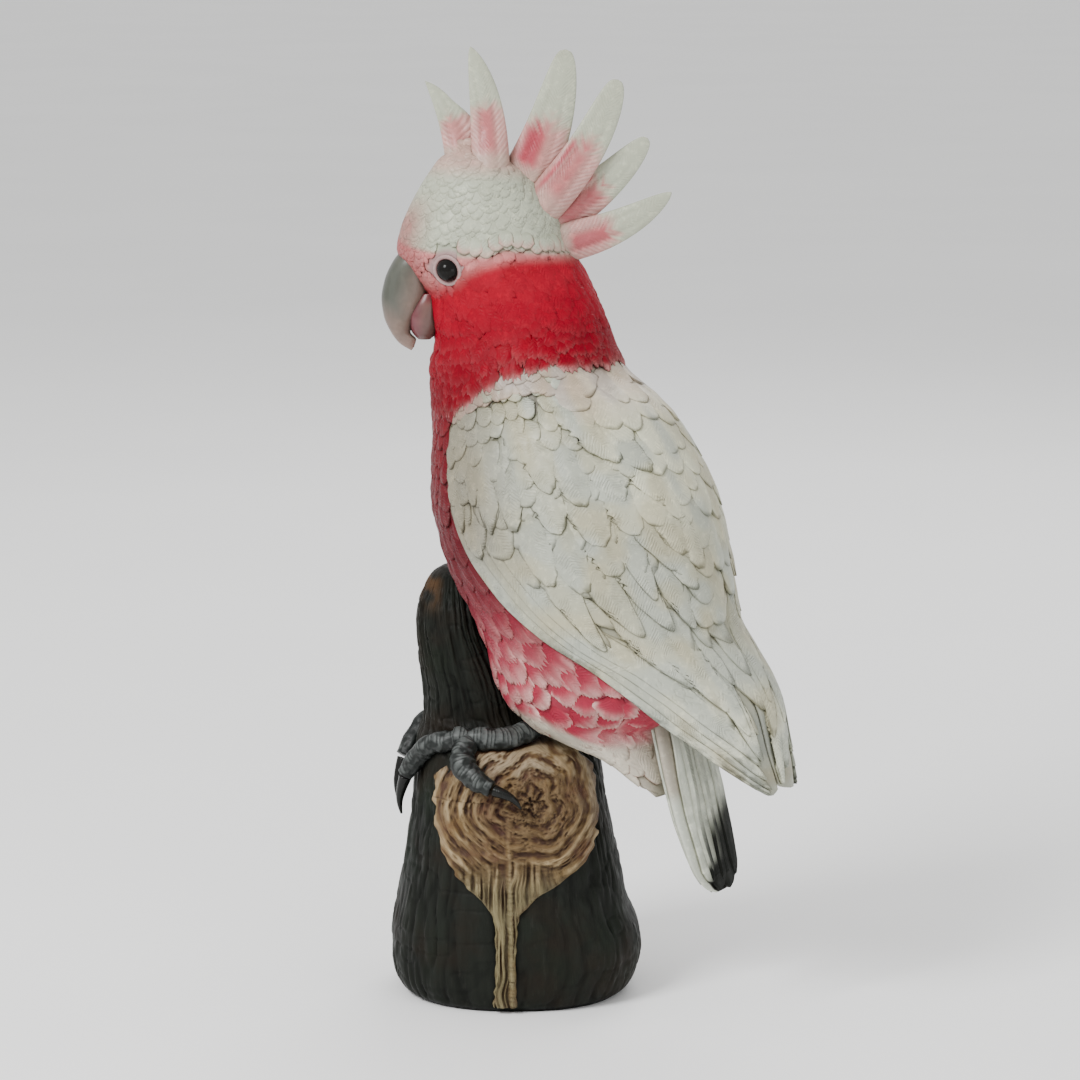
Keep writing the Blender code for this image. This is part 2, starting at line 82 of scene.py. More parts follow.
HALF_WIDTH = (
    (97, 21), (106, 31), (119, 40), (136, 46), (158, 50.5), (172, 52), (204, 53),
    (220, 52), (234, 50), (246, 46.5), (257, 42), (266, 38), (276, 35), (288, 32), (298, 30.5),
    (308, 29.5), (320, 28.5), (330, 27), (338, 25.5), (347, 23), (355, 20), (362, 15.5),
    (368, 10), (371.5, 5),
)
RUMP_HALF_WIDTH = (
    (97, 20), (99, 22), (102, 24), (112, 27), (119, 30), (124, 34), (129, 38), (136, 43), (158, 50.5),
)
NARROWING = ((97, 0), (204, 0), (234, 0.04), (266, 0.08), (298, 0.12), (328, 0.2), (371.5, 0.1))
LOWEST, HIGHEST = 97, 371.5

# ---- the folded wings, as (height, section angle)
WING_THICKNESS = 4.0
WING_BOTTOM, WING_TOP = 101.5, 271.3
LOWER_EDGE = (
    (101.5, 150), (106, 141), (113.7, 133), (122.6, 127.5), (135.8, 116), (147, 108),
    (158.7, 98.5), (168.7, 86), (182, 72.5), (191, 66.5), (202, 59.5), (214, 55.5), (228, 53),
    (242, 54.5), (254, 57), (262, 62), (267, 70), (271.5, 84),
)
INNER_EDGE = {
    1: (
        (101.5, 156), (104, 164), (121, 165), (143, 165), (163, 165), (185, 160), (210, 156),
        (231, 150), (243, 142), (256, 131), (271.5, 134),
    ),
    -1: (
        (101.5, 158), (103.5, 186), (106, 194), (121, 194.5), (143, 194.5), (163, 192), (185, 177),
        (210, 158), (231, 150), (243, 142), (256, 131), (271.5, 134),
    ),
}

# ---- eyes and bill
EYE_RADIUS = 5.2
EYE_CENTRE = (-28.3, 19.6, 321)
EYE_BEARING = 61.0  # the section angle at the left eye
EYE_PATCH = 8.6
EYE_LID = (5.9, 1.1, 0.9, 0.75)  # its radius, half its width, how far it stands out and how far it bulges
UPPER_BILL = (
    # outer x and z, inner x and z, half width
    (-47.4, 328.4, -35.2, 316.4, 8.7),
    (-51.6, 324.2, -39.4, 312.2, 8.6),
    (-56.4, 314.4, -41.6, 306.4, 8.2),
    (-57.8, 306.4, -44.2, 301.1, 7.3),
    (-56.9, 299, -46, 296, 6),
    (-54, 292, -45.3, 291.6, 4.4),
    (-49.9, 286.6, -42.8, 288.4, 2.6),
    (-45, 283.6, -43.6, 285.4, 0.9),
)
BILL_FLARE = 3.2  # how much deeper the upper bill's cutting edge reaches back than the solid's
LOWER_BILL = (
    # height, front x, back x, half width
    (309, -42, -31, 6.2),
    (304, -45, -31, 7.2),
    (299, -47, -31, 7.4),
    (294.5, -46, -32, 6.6),
    (291, -44.2, -34, 5),
    (288.6, -42, -36.5, 2.6),
)


class Blade(NamedTuple):
    """One crest blade: its line as (x, z), its widths, the side it leans to and its own paint."""

    root: tuple
    bend: tuple
    tip: tuple
    root_width: float
    tip_width: float
    bluntness: float  # the smaller, the blunter its tip
    side: int
    streak: float  # where the crimson patch lies across it, from -1 to 1
    patch: float  # and how strong it is
    leaves: float  # how far along it comes out of the cap
    ridged: bool = False  # whether the crimson gathers in a line on its lower side
    web: float = 0.0  # how far it reaches back to the next blade at its root


CREST_BLADES = (
    Blade((-23, 358), (-24.5, 387), (-38.6, 400), 13.5, 9, 0.9, 1, 0, 0.25, 0.25, web=4.5),
    Blade((-11, 357), (-9.2, 390), (-19, 415), 18, 11.5, 0.7, -1, -0.1, 0.6, 0.18),
    Blade((1, 350), (17.5, 378), (22, 413.5), 25, 15, 0.36, 1, -0.4, 1, 0.20),
    Blade((10.5, 346), (34, 369), (44.2, 401), 19, 14.5, 0.36, -1, -0.15, 0.7, 0.10, ridged=True),
    Blade((12, 337.5), (38, 351.5), (57.2, 375.5), 20, 13, 0.4, 1, 0.1, 0.95, 0.13, ridged=True),
    Blade((12, 330), (42, 332), (67.5, 352.5), 19, 12.5, 0.62, -1, 0.1, 0.8, 0.18),
)
CREST_THICKNESS = 4.4
CREST_STAGGER = 2.5
CREST_ROOT_SWELL = 9.5
CREST_BARB_PITCH = 2.4
# ---- tail, as (height, front along, back along, half width) of its sections
TAIL = (
    (54.2, 95, 97.2, 6), (56.5, 94, 97, 12.5), (61, 92.4, 96.2, 18),
    (68, 89.5, 94.4, 21), (78, 85.5, 91.8, 22.4), (88, 81.5, 89.2, 23),
    (97, 78.5, 87.4, 23), (106, 75.8, 85, 22.8), (118, 72.5, 82, 22),
    (132, 68.5, 78, 20.5),
)
TAIL_ROUNDNESS = 0.6
# Its blades on each face, as distance across, tip height and half width
TAIL_BLADES = ((-13.6, 58.5, 5.4), (13.6, 59.5, 5.4), (-5, 54.5, 8.5), (5.5, 55.5, 8.5))
UNDERTAIL_COVERTS = ((-13, 99.5), (13, 99.5), (-8, 103), (8, 103), (-2.5, 108), (3, 111))

# ---- stump, as (height, left x, right x, front y, back y, fall from left to right)
STUMP = (
    (0, -46, 46, -47, 44, 0), (3, -50.5, 50.5, -50, 47, 0), (10, -54, 54, -52.5, 49, 0),
    (20, -55.2, 56.2, -53, 50, 0), (28, -55, 55.3, -52.5, 50, 0), (40, -53, 50.5, -51, 48.5, 0),
    (55, -50.5, 47, -49, 46.5, 0), (72, -47.8, 43.2, -46.5, 44, 0), (89, -45.5, 40, -44, 42, 0.5),
    (102, -44.2, 38.2, -41.5, 40.5, 2), (109, -43.6, 36.5, -39, 39.6, 3),
    (113, -42.6, 33, -35.5, 38.8, 3.5), (115.5, -41.6, 24, -28, 38.4, 3),
    (118, -41.2, 15, -20, 38, 2), (124, -41, 9, -17, 37.6, 0), (134, -41.4, 5, -16, 37, 0),
    (146, -43, 0, -15, 36.4, 0), (160, -44, -6, -13.5, 35, 0), (170, -43, -10, -11, 33, 0),
    (178, -40, -14, -6, 29.5, 0), (183.5, -36.5, -18, 0.5, 24.5, 0), (186.5, -32, -23, 7, 18.5, 0),
)
STUMP_SQUARENESS = 2.3
CUT_WOOD = (
    # height, left x, right x
    (3, -9.5, 1), (12, -8.6, 0.5), (28, -8.2, 0.6), (42, -9.2, 1.6), (50, -14, 8), (57, -22, 20),
    (64, -28, 30), (74, -32.5, 35.5), (86, -35, 36.2), (98, -35.2, 35), (106, -31, 32.5),
    (111, -22, 27),
)
CUT_WOOD_RELIEF = 2.6
WOOD_LEDGE = ((113, -20, 28), (115.5, -15, 20), (117.6, -9, 12.5))
RING_CENTRE = (6.5, 92.5)

# ---- feet: each path as (x, y, z, radius)
SHANK = ((13, -20, 123, 4.6), (0, -33.5, 118, 4.9), (-14, -35, 118.5, 5), (-26, -32, 118.5, 4.8))
OUTER_TOE = (
    (-20, -34, 118, 4.3), (-33, -29.5, 117, 4.5), (-42.5, -22, 110, 4.4), (-47.5, -17, 99.5, 3.8),
)
INNER_TOE = ((-20, -34, 118, 4.6), (-24, -40, 111, 5.8), (-19, -47, 104, 5), (-10, -50.2, 100, 3.6))
OUTER_CLAW = (
    (-47.9, -16.6, 98.2, 2.9), (-50.2, -14.5, 91.5, 2.2), (-51, -12.5, 84.5, 1.2), (-50, -11.2, 80, 0.5),
)
INNER_CLAW = (
    (-8.8, -50.6, 99.4, 2.7), (-3.6, -53, 98.2, 2.1), (0.8, -53.4, 95.2, 1.2), (2.6, -52.8, 92, 0.5),
)
FAR_FOOT_SHIFT_X = -2.0
FAR_FOOT_MIRROR_Y = 1.5
SCUTE_PITCH = 1.9

# ---- paints that the brush mixes on the piece, as linear colours
BELLY_EDGE = (0.54, 0.34, 0.31)
NECK_EDGE = (0.50, 0.14, 0.15)
COLLAR_EDGE = (0.52, 0.27, 0.25)
LOW_WING = (0.44, 0.45, 0.36)
COOL_CLOUD = (0.325, 0.345, 0.295)
YELLOW_CLOUD = (0.345, 0.320, 0.215)
WING_BEIGE = (0.17, 0.152, 0.110)
CREST_BARBS = (0.50, 0.33, 0.30)
CREST_CRIMSON = (0.32, 0.030, 0.050)
WARM_HORN = (0.150, 0.108, 0.088)
LOWER_HORN = (0.105, 0.058, 0.050)
LOWER_HORN_FRONT = (0.115, 0.034, 0.040)
LOWER_HORN_ROOT = (0.12, 0.010, 0.014)
BARK_BROWN = (0.075, 0.038, 0.016)
WOOD_MAROON = (0.052, 0.016, 0.014)
STEM_WOOD = (0.150, 0.130, 0.068)
LEDGE_WOOD = (0.34, 0.28, 0.19)

# ---- washes, by which a colour is multiplied in the recesses
WHITE_WASH = (0.24, 0.23, 0.165)
CROWN_WASH = (0.50, 0.49, 0.42)
RED_WASH = (0.30, 0.12, 0.15)
PINK_WASH = (0.60, 0.18, 0.22)
CREST_WASH = (0.42, 0.30, 0.28)
EYE_WASH = (0.55, 0.40, 0.38)

# ---- stage, in metres and watts: each light as name, place, size and power
LOOKED_AT = (0.0109, 0.0, 0.2)
LIT = (0.0, 0.0, 0.2)
FLOOR_HALF = 16.0
LIGHTS = (
    ("key", (-0.95, -1.0, 1.3), 0.6, 36),
    ("fill", (1.1, -1.3, 0.15), 1.0, 9),
    ("back", (0.4, 1.3, 1.3), 0.9, 12),
)


# ---- settings


def colour_property(name, description, default):
    """A colour that a user can change."""
    return bpy.props.FloatVectorProperty(
        name=name, description=description, subtype="COLOR", size=3, min=0, max=1, default=default
    )


def length_property(name, description, default):
    """A length that a user can change."""
    return bpy.props.FloatProperty(
        name=name, description=description, unit="LENGTH", min=0, default=default
    )


class StatuePaint(bpy.types.PropertyGroup):
    """The paints, as linear colours."""

    crown: colour_property("Crown", "Greenish white of the crown and crest tips", (0.350, 0.368, 0.282))
    blush: colour_property("Blush", "Pale pink between the crown and the crimson", (0.44, 0.17, 0.16))
    forehead: colour_property("Forehead", "Dusty pink over the bill", (0.27, 0.085, 0.08))
    crimson: colour_property("Crimson", "Face, neck and upper breast", (0.30, 0.0004, 0.014))
    # Painted shade: the breast's pink is darkened far below the belly's, standing for the shade on the
    # strip in front of the wing, which turns away from the light.
    breast: colour_property("Breast", "Dark pink strip in front of the wing", (0.080, 0.0028, 0.0075))
    belly: colour_property("Belly", "Pink of the belly scallops", (0.28, 0.020, 0.042))
    vent: colour_property("Vent", "Off-white under the tail and at the edges", (0.41, 0.375, 0.305))
    wing: colour_property("Wing", "Warm greyish white of wings and mantle", (0.332, 0.330, 0.246))
    # Painted light: the tail's cool grey is set lighter than its own, and lighter than the wing's paint,
    # to make up for the shade on the tail's faces, which turn down and away from the lights.
    tail: colour_property("Tail", "Cool grey of the tail feathers", (0.56, 0.585, 0.50))
    tail_end: colour_property("Tail end", "Blackish ends of the tail feathers", (0.010, 0.011, 0.009))
    eye_skin: colour_property("Eye skin", "Bare skin round the eye", (0.27, 0.175, 0.17))
    horn: colour_property("Horn", "Grey of the bill", (0.064, 0.067, 0.055))
    horn_tip: colour_property("Horn tip", "Paler hook of the bill", (0.30, 0.20, 0.165))
    foot: colour_property("Foot", "Dark blue-grey of the feet", (0.0095, 0.0115, 0.0105))
    foot_scale: colour_property("Foot scale", "Pale brush on the foot scales", (0.12, 0.13, 0.125))
    claw: colour_property("Claw", "Black of the claws", (0.006, 0.0065, 0.0055))
    bark: colour_property("Bark", "Near-black of the bark", (0.0070, 0.0080, 0.0062))
    wood: colour_property("Wood", "Golden brown of the cut wood", (0.130, 0.083, 0.038))
    wood_light: colour_property("Light wood", "Cream brush on the cut wood", (0.33, 0.25, 0.14))
    wood_dark: colour_property("Dark wood", "Stained grooves of the cut wood", (0.058, 0.029, 0.017))


class StatueRelief(bpy.types.PropertyGroup):
    """How deep the carving is."""

    coat_depth: length_property("Coat depth", "How far the skin lies under the feathers' tops", 1.3 * MM)
    bark_depth: length_property("Bark depth", "Depth of the grooves in the bark", 1.5 * MM)
    ring_depth: length_property("Ring depth", "Depth of the growth rings in the cut wood", 2.0 * MM)


class StatueStage(bpy.types.PropertyGroup):
    """Camera, lights and floor."""

    distance: length_property("Distance", "From the camera to the statue", 1.9)
    elevation: bpy.props.FloatProperty(
        name="Elevation", description="The camera's angle above the horizon", subtype="ANGLE",
        default=np.radians(10),
    )
    view_height: length_property("View height", "Height of the picture at the statue", 0.4725)
    floor: colour_property("Floor", "Pale floor", (0.90, 0.90, 0.895))


def paints():
    """The paints as they are set."""
    return bpy.context.scene.statue_paint


def relief(name):
    """A depth of the carving in millimetres."""
    return getattr(bpy.context.scene.statue_relief, name) / MM


# ---- curves and sections


def smooth(low, high, value):
    """0 below low and 1 above high, with a soft step between them."""
    part = np.clip((value - low) / (high - low), 0.0, 1.0)
    return part * part * (3 - 2 * part)


def curve_through(pairs, at):
    """A monotone cubic through (place, value) pairs, which never swings past them."""
    place, value = np.array(pairs, float).T
    step = np.diff(place)
    slope = np.diff(value) / step
    tangent = np.empty_like(value)
    tangent[0], tangent[-1] = slope[0], slope[-1]
    before, after = slope[:-1], slope[1:]
    same_way = before * after > 0
    weight_a, weight_b = 2 * step[1:] + step[:-1], step[1:] + 2 * step[:-1]
    safe_before, safe_after = np.where(same_way, before, 1), np.where(same_way, after, 1)
    mean = (weight_a + weight_b) / (weight_a / safe_before + weight_b / safe_after)
    tangent[1:-1] = np.where(same_way, mean, 0)
    at = np.clip(at, place[0], place[-1])
    k = np.clip(np.searchsorted(place, at) - 1, 0, len(step) - 1)
    t = (at - place[k]) / step[k]
    bend = step[k] * ((t - 2 * t**2 + t**3) * tangent[k] + (t**3 - t**2) * tangent[k + 1])
    return value[k] * (1 - 3 * t**2 + 2 * t**3) + value[k + 1] * (3 * t**2 - 2 * t**3) + bend


def mix(first, second, share):
    """Goes from the first colour or value to the second as share goes from 0 to 1."""
    share = np.asarray(share)[..., None]
    return np.asarray(first) * (1 - share) + np.asarray(second) * share


def stacked(*parts):
    """Arrays of one shape, or that spread to one, as the parts of a last axis."""
    return np.stack(np.broadcast_arrays(*parts), axis=-1)


def size_of(vectors):
    """How long vectors are."""
    return np.linalg.norm(vectors, axis=-1)


def unit(vectors):
    """Vectors drawn to a length of 1."""
    return vectors / (size_of(vectors)[..., None] + 1e-12)


def columns_at(table, at):
    """The columns after a table's first one, each as a smooth function of the first one."""
    table = np.array(table, float)
    return [curve_through(table[:, [0, k]], at) for k in range(1, table.shape[1])]


def wave(turns):
    """0 at whole numbers and 1 half-way between them, as a cosine."""
    return 0.5 - 0.5 * np.cos(2 * np.pi * turns)


def signed_power(value, power):
    """The value's size to a power, with its sign kept, which squares off or pinches a round section."""
    return np.sign(value) * np.abs(value) ** power


def whole_turn(count):
    """Angles that divide a turn evenly, in radians."""
    return np.linspace(0, 2 * np.pi, count, endpoint=False)


def travelled(points):
    """How far along a line of points each of them lies."""
    return np.concatenate([[0], np.cumsum(size_of(np.diff(points, axis=0)))])


def turned(along, across, height, yaw):
    """The world point of one in the bird's own frame."""
    yaw = np.radians(yaw)
    x = BIRD_AXIS_X + along * np.cos(yaw) + across * np.sin(yaw)
    return stacked(x, across * np.cos(yaw) - along * np.sin(yaw), height)


def bird_point(height, angle, inset=0.0, rump=False):
    """A point on the slanted oval section at this height, drawn in by inset. Its half length and half
    width come from the breast, back and width lines; with rump, the back line is that of the trunk
    under the wings."""
    rise = curve_through(RISE, height)
    angle = np.radians(angle)
    front = curve_through(BREAST_LINE, height - rise)
    back = curve_through(BACK_LINE, height + rise)
    half_width = curve_through(HALF_WIDTH, height)
    if rump:
        low = height < RUMP_LINE[-1][0]
        back = np.where(low, curve_through(RUMP_LINE, height), back)
        half_width = np.where(low, curve_through(RUMP_HALF_WIDTH, height), half_width)
    narrowing = curve_through(NARROWING, height)
    half_length = (back - front) / 2
    backward = -(half_length - inset) * np.cos(angle)
    across = -(half_width - inset) * np.sin(angle) * (1 - narrowing * np.cos(angle))
    yaw = TRUNK_YAW * (1 - smooth(*YAW_FADE, height))
    return turned((front + back) / 2 + backward, across, height + rise * backward / half_length, yaw)


def body_surface(height, angle):
    """The bird without its wings."""
    return bird_point(height, angle, rump=True)


def cloak_surface(height, angle):
    """The bird with its folded wings' outer faces."""
    return bird_point(height, angle)


def surface_basis(surface, p, q, step=0.2):
    """The point, the outward normal and both slopes of a surface, by central differences."""
    by_p = (surface(p + step, q) - surface(p - step, q)) / (2 * step)
    by_q = (surface(p, q + step) - surface(p, q - step)) / (2 * step)
    return surface(p, q), unit(np.cross(by_q, by_p)), by_p, by_q


def lifted(surface, p, q, lift):
    """The surface's point, raised along its normal."""
    point, normal, _, _ = surface_basis(surface, p, q)
    return point + normal * np.asarray(lift)[..., None]


def wing_angle(side, height, share):
    """The section angle at a share of the way from a wing's lower edge (0) to its inner edge (1).
    Side 1 is the left wing and -1 the right one, whose angles run the other way round."""
    lower = curve_through(LOWER_EDGE, height)
    angle = lower + share * (curve_through(INNER_EDGE[side], height) - lower)
    return angle if side == 1 else 360 - angle


def hash_noise(x, y, seed):
    """Smooth noise from 0 to 1 over a plane: random values on a grid of unit cells that repeats, joined
    by soft steps."""
    grid = np.random.default_rng(seed).random((NOISE_CELLS, NOISE_CELLS))
    cell_x, cell_y = np.floor(x).astype(int), np.floor(y).astype(int)
    part_x, part_y = smooth(0, 1, x - cell_x), smooth(0, 1, y - cell_y)
    left, right, low, high = (cell % NOISE_CELLS for cell in (cell_x, cell_x + 1, cell_y, cell_y + 1))
    lower = grid[left, low] * (1 - part_x) + grid[right, low] * part_x
    upper = grid[left, high] * (1 - part_x) + grid[right, high] * part_x
    return lower * (1 - part_y) + upper * part_y


def folded_noise(x, y, seed):
    """Noise folded at its middle: 0 along wandering lines and up to 1 between them."""
    return np.abs(2 * hash_noise(x, y, seed) - 1)


# ---- meshes


def faces_of_grid(rows, columns):
    """Quads of a grid of points whose columns run once round, outward where they run anticlockwise
    round upward rows."""
    low = np.arange(rows - 1)[:, None] * columns
    column = np.arange(columns)[None, :]
    after = (column + 1) % columns
    return stacked(low + column, low + after, low + columns + after, low + columns + column).reshape(-1, 4)


def write_piece(name, points, faces, material, replaces, attributes, corner_uv):
    """Writes points in millimetres and arrays of faces as one object at the origin, smooth-shaded, with
    its vertex attributes and its bake map, riding on the statue's one body."""
    mesh = bpy.data.meshes.new(name)
    points = np.asarray(points, np.float32).reshape(-1, 3) * MM
    corners = np.concatenate([group.ravel() for group in faces]).astype(np.int32)
    sizes = np.concatenate([np.full(len(group), group.shape[1]) for group in faces])
    starts = np.concatenate([[0], np.cumsum(sizes)[:-1]]).astype(np.int32)
    mesh.vertices.add(len(points))
    mesh.vertices.foreach_set("co", points.ravel())
    mesh.loops.add(len(corners))
    mesh.loops.foreach_set("vertex_index", corners)
    mesh.polygons.add(len(starts))
    mesh.polygons.foreach_set("loop_start", starts)
    mesh.polygons.foreach_set("use_smooth", np.ones(len(starts), bool))
    for label, values in attributes:
        values = np.asarray(values, np.float32).reshape(len(points), 3)
        if label == "paint":
            values = np.column_stack([np.clip(values, 0, 1), np.ones(len(points), np.float32)])
            layer = mesh.attributes.new(label, "FLOAT_COLOR", "POINT")
            layer.data.foreach_set("color", values.ravel())
        else:
            layer = mesh.attributes.new(label, "FLOAT_VECTOR", "POINT")
            layer.data.foreach_set("vector", values.ravel())
    layer = mesh.uv_layers.new(name="OFBake")
    layer.data.foreach_set("uv", np.asarray(corner_uv, np.float32).ravel())
    mesh.update(calc_edges=True)
    if mesh.validate():
        raise RuntimeError(f"{name} has faces that Blender had to mend")
    mesh.materials.append(material)
    obj = linked(name, mesh)
    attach(obj, "root")
    if replaces:
        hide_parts(*replaces)


def linked(name, data):
    """A new object in the scene."""
    obj = bpy.data.objects.new(name, data)
    bpy.context.scene.collection.objects.link(obj)
    return obj


def write_tube(name, rings, material, replaces=(), paint=None, vane=None):
    """A closed tube through a stack of rings (rows, around, 3), with a fan at each end. Its bake map is
    its own unrolled grid, with the fans' middles above and below it."""
    rows, around = rings.shape[:2]
    quads = faces_of_grid(rows, around)
    index = np.arange(around)
    after = (index + 1) % around
    last = (rows - 1) * around
    bottom = stacked(rows * around, after, index)
    top = stacked(rows * around + 1, last + index, last + after)
    row, column = np.divmod(np.arange(len(quads)), around)
    low, high = (row + 0.5) / rows, (row + 1.5) / rows
    left, right = column / around, (column + 1) / around
    start, end, edge = index / around, (index + 1) / around, 0.5 / rows
    uv = (
        stacked(left, low, right, low, right, high, left, high),
        stacked(start, 0, end, edge, start, edge),
        stacked(start, 1, start, 1 - edge, end, 1 - edge),
    )

    def with_ends(values):
        """The rings' values and the mean value of each end."""
        values = np.broadcast_to(values, rings.shape)
        return np.concatenate([values.reshape(-1, 3), [values[0].mean(axis=0), values[-1].mean(axis=0)]])

    given = (("paint", paint), ("vane", vane))
    attributes = [(label, with_ends(values)) for label, values in given if values is not None]
    uv = np.concatenate([corners.ravel() for corners in uv])
    faces = [quads, bottom, top]
    write_piece(name, with_ends(rings), faces, material, replaces, attributes, uv)


# ---- carved feathers


class Vane(NamedTuple):
    """How one kind of feather is carved. The lifts are heights over the bird's outer surface."""

    along: int = 5
    across: int = 5
    point: float = 0.42  # how far the tip's corners lie behind its middle, as a share of the length
    waist: float = 0.55  # width at the root, as a share of the full width
    taper: float = 0.08  # how much narrower it is at the tip
    sunk: float = -1.5  # lift at the root
    proud: float = 0.25  # lift at the tip
    floor: float = -1.9  # lift of the hidden underside
    camber: float = 0.35  # how much higher the middle is than the sides
    tilt: float = 0.0  # how much higher the -v side is than the middle
    shaft: float = 0.0  # height of the ridge along the middle
    barbs: float = 0.0  # depth of the grooves that run out from the shaft
    barb_pitch: float = 3.2
    fray: float = 0.0  # depth of the notches in the tip, as a share of the length
    droop: float = 0.0  # how far the tip bends down again
    rays: float = 0.0  # depth of the grooves that fan out from the root
    ray_count: float = 3.5
    nicks: float = 0.0  # depth of the nicks in the side edges, as a share of the half width
    nick_count: float = 16.0


def vane_template(vane):
    """The (u, v) grid of a feather, from its root (0) to its tip (1) and from side to side (-1 to 1).
    The outermost rows and columns are doubled: their second copy is the rim of the underside."""
    u = np.linspace(0, 1, vane.along) ** 0.8
    even = np.linspace(-1, 1, vane.across)
    u = np.concatenate([[0], u, [1]])
    v = np.concatenate([[-1.04], 0.35 * np.sin(even * np.pi / 2) + 0.65 * even, [1.04]])
    rim = np.zeros((len(u), len(v)), bool)
    rim[[0, -1]] = rim[:, [0, -1]] = True
    return np.broadcast_to(u[:, None], rim.shape), np.broadcast_to(v[None, :], rim.shape), rim


def vane_faces(rows, columns):
    """The upper side's quads, the underside's wide quads, and one face at the root and the tip."""
    low = np.arange(rows - 1)[:, None] * columns
    at = low + np.arange(columns - 1)[None, :]
    upper = stacked(at, at + columns, at + columns + 1, at + 1).reshape(-1, 4)
    left = low[:, 0]
    right = left + columns - 1
    lower = stacked(left, right, right + columns, left + columns)
    root = np.arange(columns)[None, :]
    return [np.concatenate([upper, lower]), np.concatenate([root, root[:, ::-1] + (rows - 1) * columns])]


def straight_lines(surface, tips, lean, length, side):
    """Centre lines that end at the tips (height, angle) and come from up the bird, leaning by an angle
    from straight down towards the back. Returns a function of u that gives (height, angle)."""
    _, _, by_p, by_q = surface_basis(surface, tips[:, 0], tips[:, 1])
    lean = np.radians(lean)
    fall = np.cos(lean) * length / size_of(by_p)
    turn = np.sin(lean) * length / size_of(by_q) * side
    root, tip = (places[:, None, None, :] for places in (tips + stacked(fall, -turn), tips))
    return lambda u: root + (tip - root) * u[..., None]


def carve(surface, centre, half_width, vane, rng, limit=None):
    """The points of many feathers of one kind, as (feather, row, column, 3), and what their paint
    needs. A feather point lies at u along its centre line, less a share of v squared that rounds its
    tip, and at v half widths beside it, and is lifted off the surface: less at the root and the sides,
    more at the tip, the shaft and the raised side, and less again in the grooves between its barbs."""
    count = len(half_width)
    u, v, rim = (np.broadcast_to(a, (count, *a.shape)) for a in vane_template(vane))
    wobble = rng.uniform(-1, 1, (4, count, 1, 1))
    reach = u - vane.point * (0.25 + 0.75 * u) * u * v**2 - 0.12 * (1 - u) ** 2 * (1 - v**2)
    if vane.fray:
        notch = wave(vane.ray_count * v + wobble[0] + wobble[1] / np.pi)
        notch = notch * (0.4 + 0.6 * np.abs(np.sin(v * 4.3 + wobble[1] * 9)))
        reach = reach - vane.fray * notch * smooth(0.55, 1, u)
    width = (vane.waist + (1 - vane.waist) * smooth(0, 0.6, u)) * (1 - vane.taper * u**3)
    width = width * (1 + 0.06 * np.sin(u * 9 + wobble[2] * 6) * np.abs(v))
    if vane.nicks:
        run = smooth(0.0, 0.7, np.sin(reach * 7 + wobble[0] * 9 + 2 * np.sign(v)))
        saw = (reach * vane.nick_count + wobble[2]) % 1
        width = width * (1 - vane.nicks * run * saw**2 * smooth(0.7, 1, np.abs(v)) * smooth(0.3, 0.5, u))
    across = half_width[:, None, None] * width * v
    place = centre(reach)
    step = 0.01
    course = (centre(reach + step) - centre(reach - step)) / (2 * step)
    _, normal, by_p, by_q = surface_basis(surface, place[..., 0], place[..., 1])
    ahead = by_p * course[..., :1] + by_q * course[..., 1:]
    length = size_of(ahead)
    aside = np.cross(normal, ahead / (length[..., None] + 1e-9))
    pp, pq, qq = (by_p * by_p).sum(-1), (by_p * by_q).sum(-1), (by_q * by_q).sum(-1)
    along_p, along_q = (aside * by_p).sum(-1), (aside * by_q).sum(-1)
    area = pp * qq - pq**2 + 1e-9
    per_mm = stacked(qq * along_p - pq * along_q, pp * along_q - pq * along_p)
    place = place + per_mm / area[..., None] * across[..., None]
    over = 0.0
    if limit is not None:
        place, over = limit(place)
    lift = vane.sunk + (vane.proud - vane.sunk) * u**0.7 + 0.25 * wobble[3] * vane.camber
    lift = lift - vane.droop * smooth(0.7, 1, u)
    if vane.rays:
        ray = wave(vane.ray_count * v + wobble[0] + wobble[1] * u / np.pi)
        lift = lift - vane.rays * ray * smooth(0.1, 0.7, u)
    lift = lift + vane.camber * (0.4 - v**2) * smooth(0, 0.4, u) - vane.tilt * v
    lift = lift + vane.shaft * np.exp(-((across / 0.6) ** 2)) * smooth(0, 0.2, u) * (1 - 0.6 * u)
    distance = reach * length
    if vane.barbs:
        slant = distance - 0.9 * np.abs(across) + 0.8 * np.sin(distance * 0.23 + wobble[1] * 5)
        groove = wave(slant / vane.barb_pitch) ** 3
        lift = lift - vane.barbs * groove * smooth(0.1, 0.6, np.abs(v)) * smooth(0.1, 0.4, u)
    lift = np.where(rim, vane.floor, np.maximum(lift - over, vane.floor + 0.2))
    points = lifted(surface, place[..., 0], place[..., 1], lift)
    seed = rng.random((count, 1, 1)) * 50
    return points, {
        "u": u, "v": v, "rim": rim, "root": centre(np.zeros((count, 1, 1)))[:, 0, 0],
        "place": place, "vane": stacked(distance, across, seed),
    }


def root_patch_map(made, patch=0.003):
    """Bake map of small feathers: each is a small patch at its root's place on the unrolled skin."""
    root = made["root"][:, None, None, :]
    across = (root[..., 1] % 360) / 360 + patch / 2 * made["v"]
    up = (root[..., 0] - LOWEST) / (HIGHEST - LOWEST) + patch * (made["u"] - 0.5)
    return stacked(np.clip(across, 0, 1), np.clip(up, 0, 1))


def cell_map(made):
    """Bake map of large feathers: each has a cell of its own."""
    count = len(made["root"])
    columns = int(np.ceil(np.sqrt(count * 3)))
    rows = int(np.ceil(count / columns))
    row, column = np.divmod(np.arange(count), columns)
    across = (column[:, None, None] + 0.5 + 0.44 * made["v"]) / columns
    up = (row[:, None, None] + 0.04 + 0.92 * made["u"]) / rows
    return stacked(across, up)


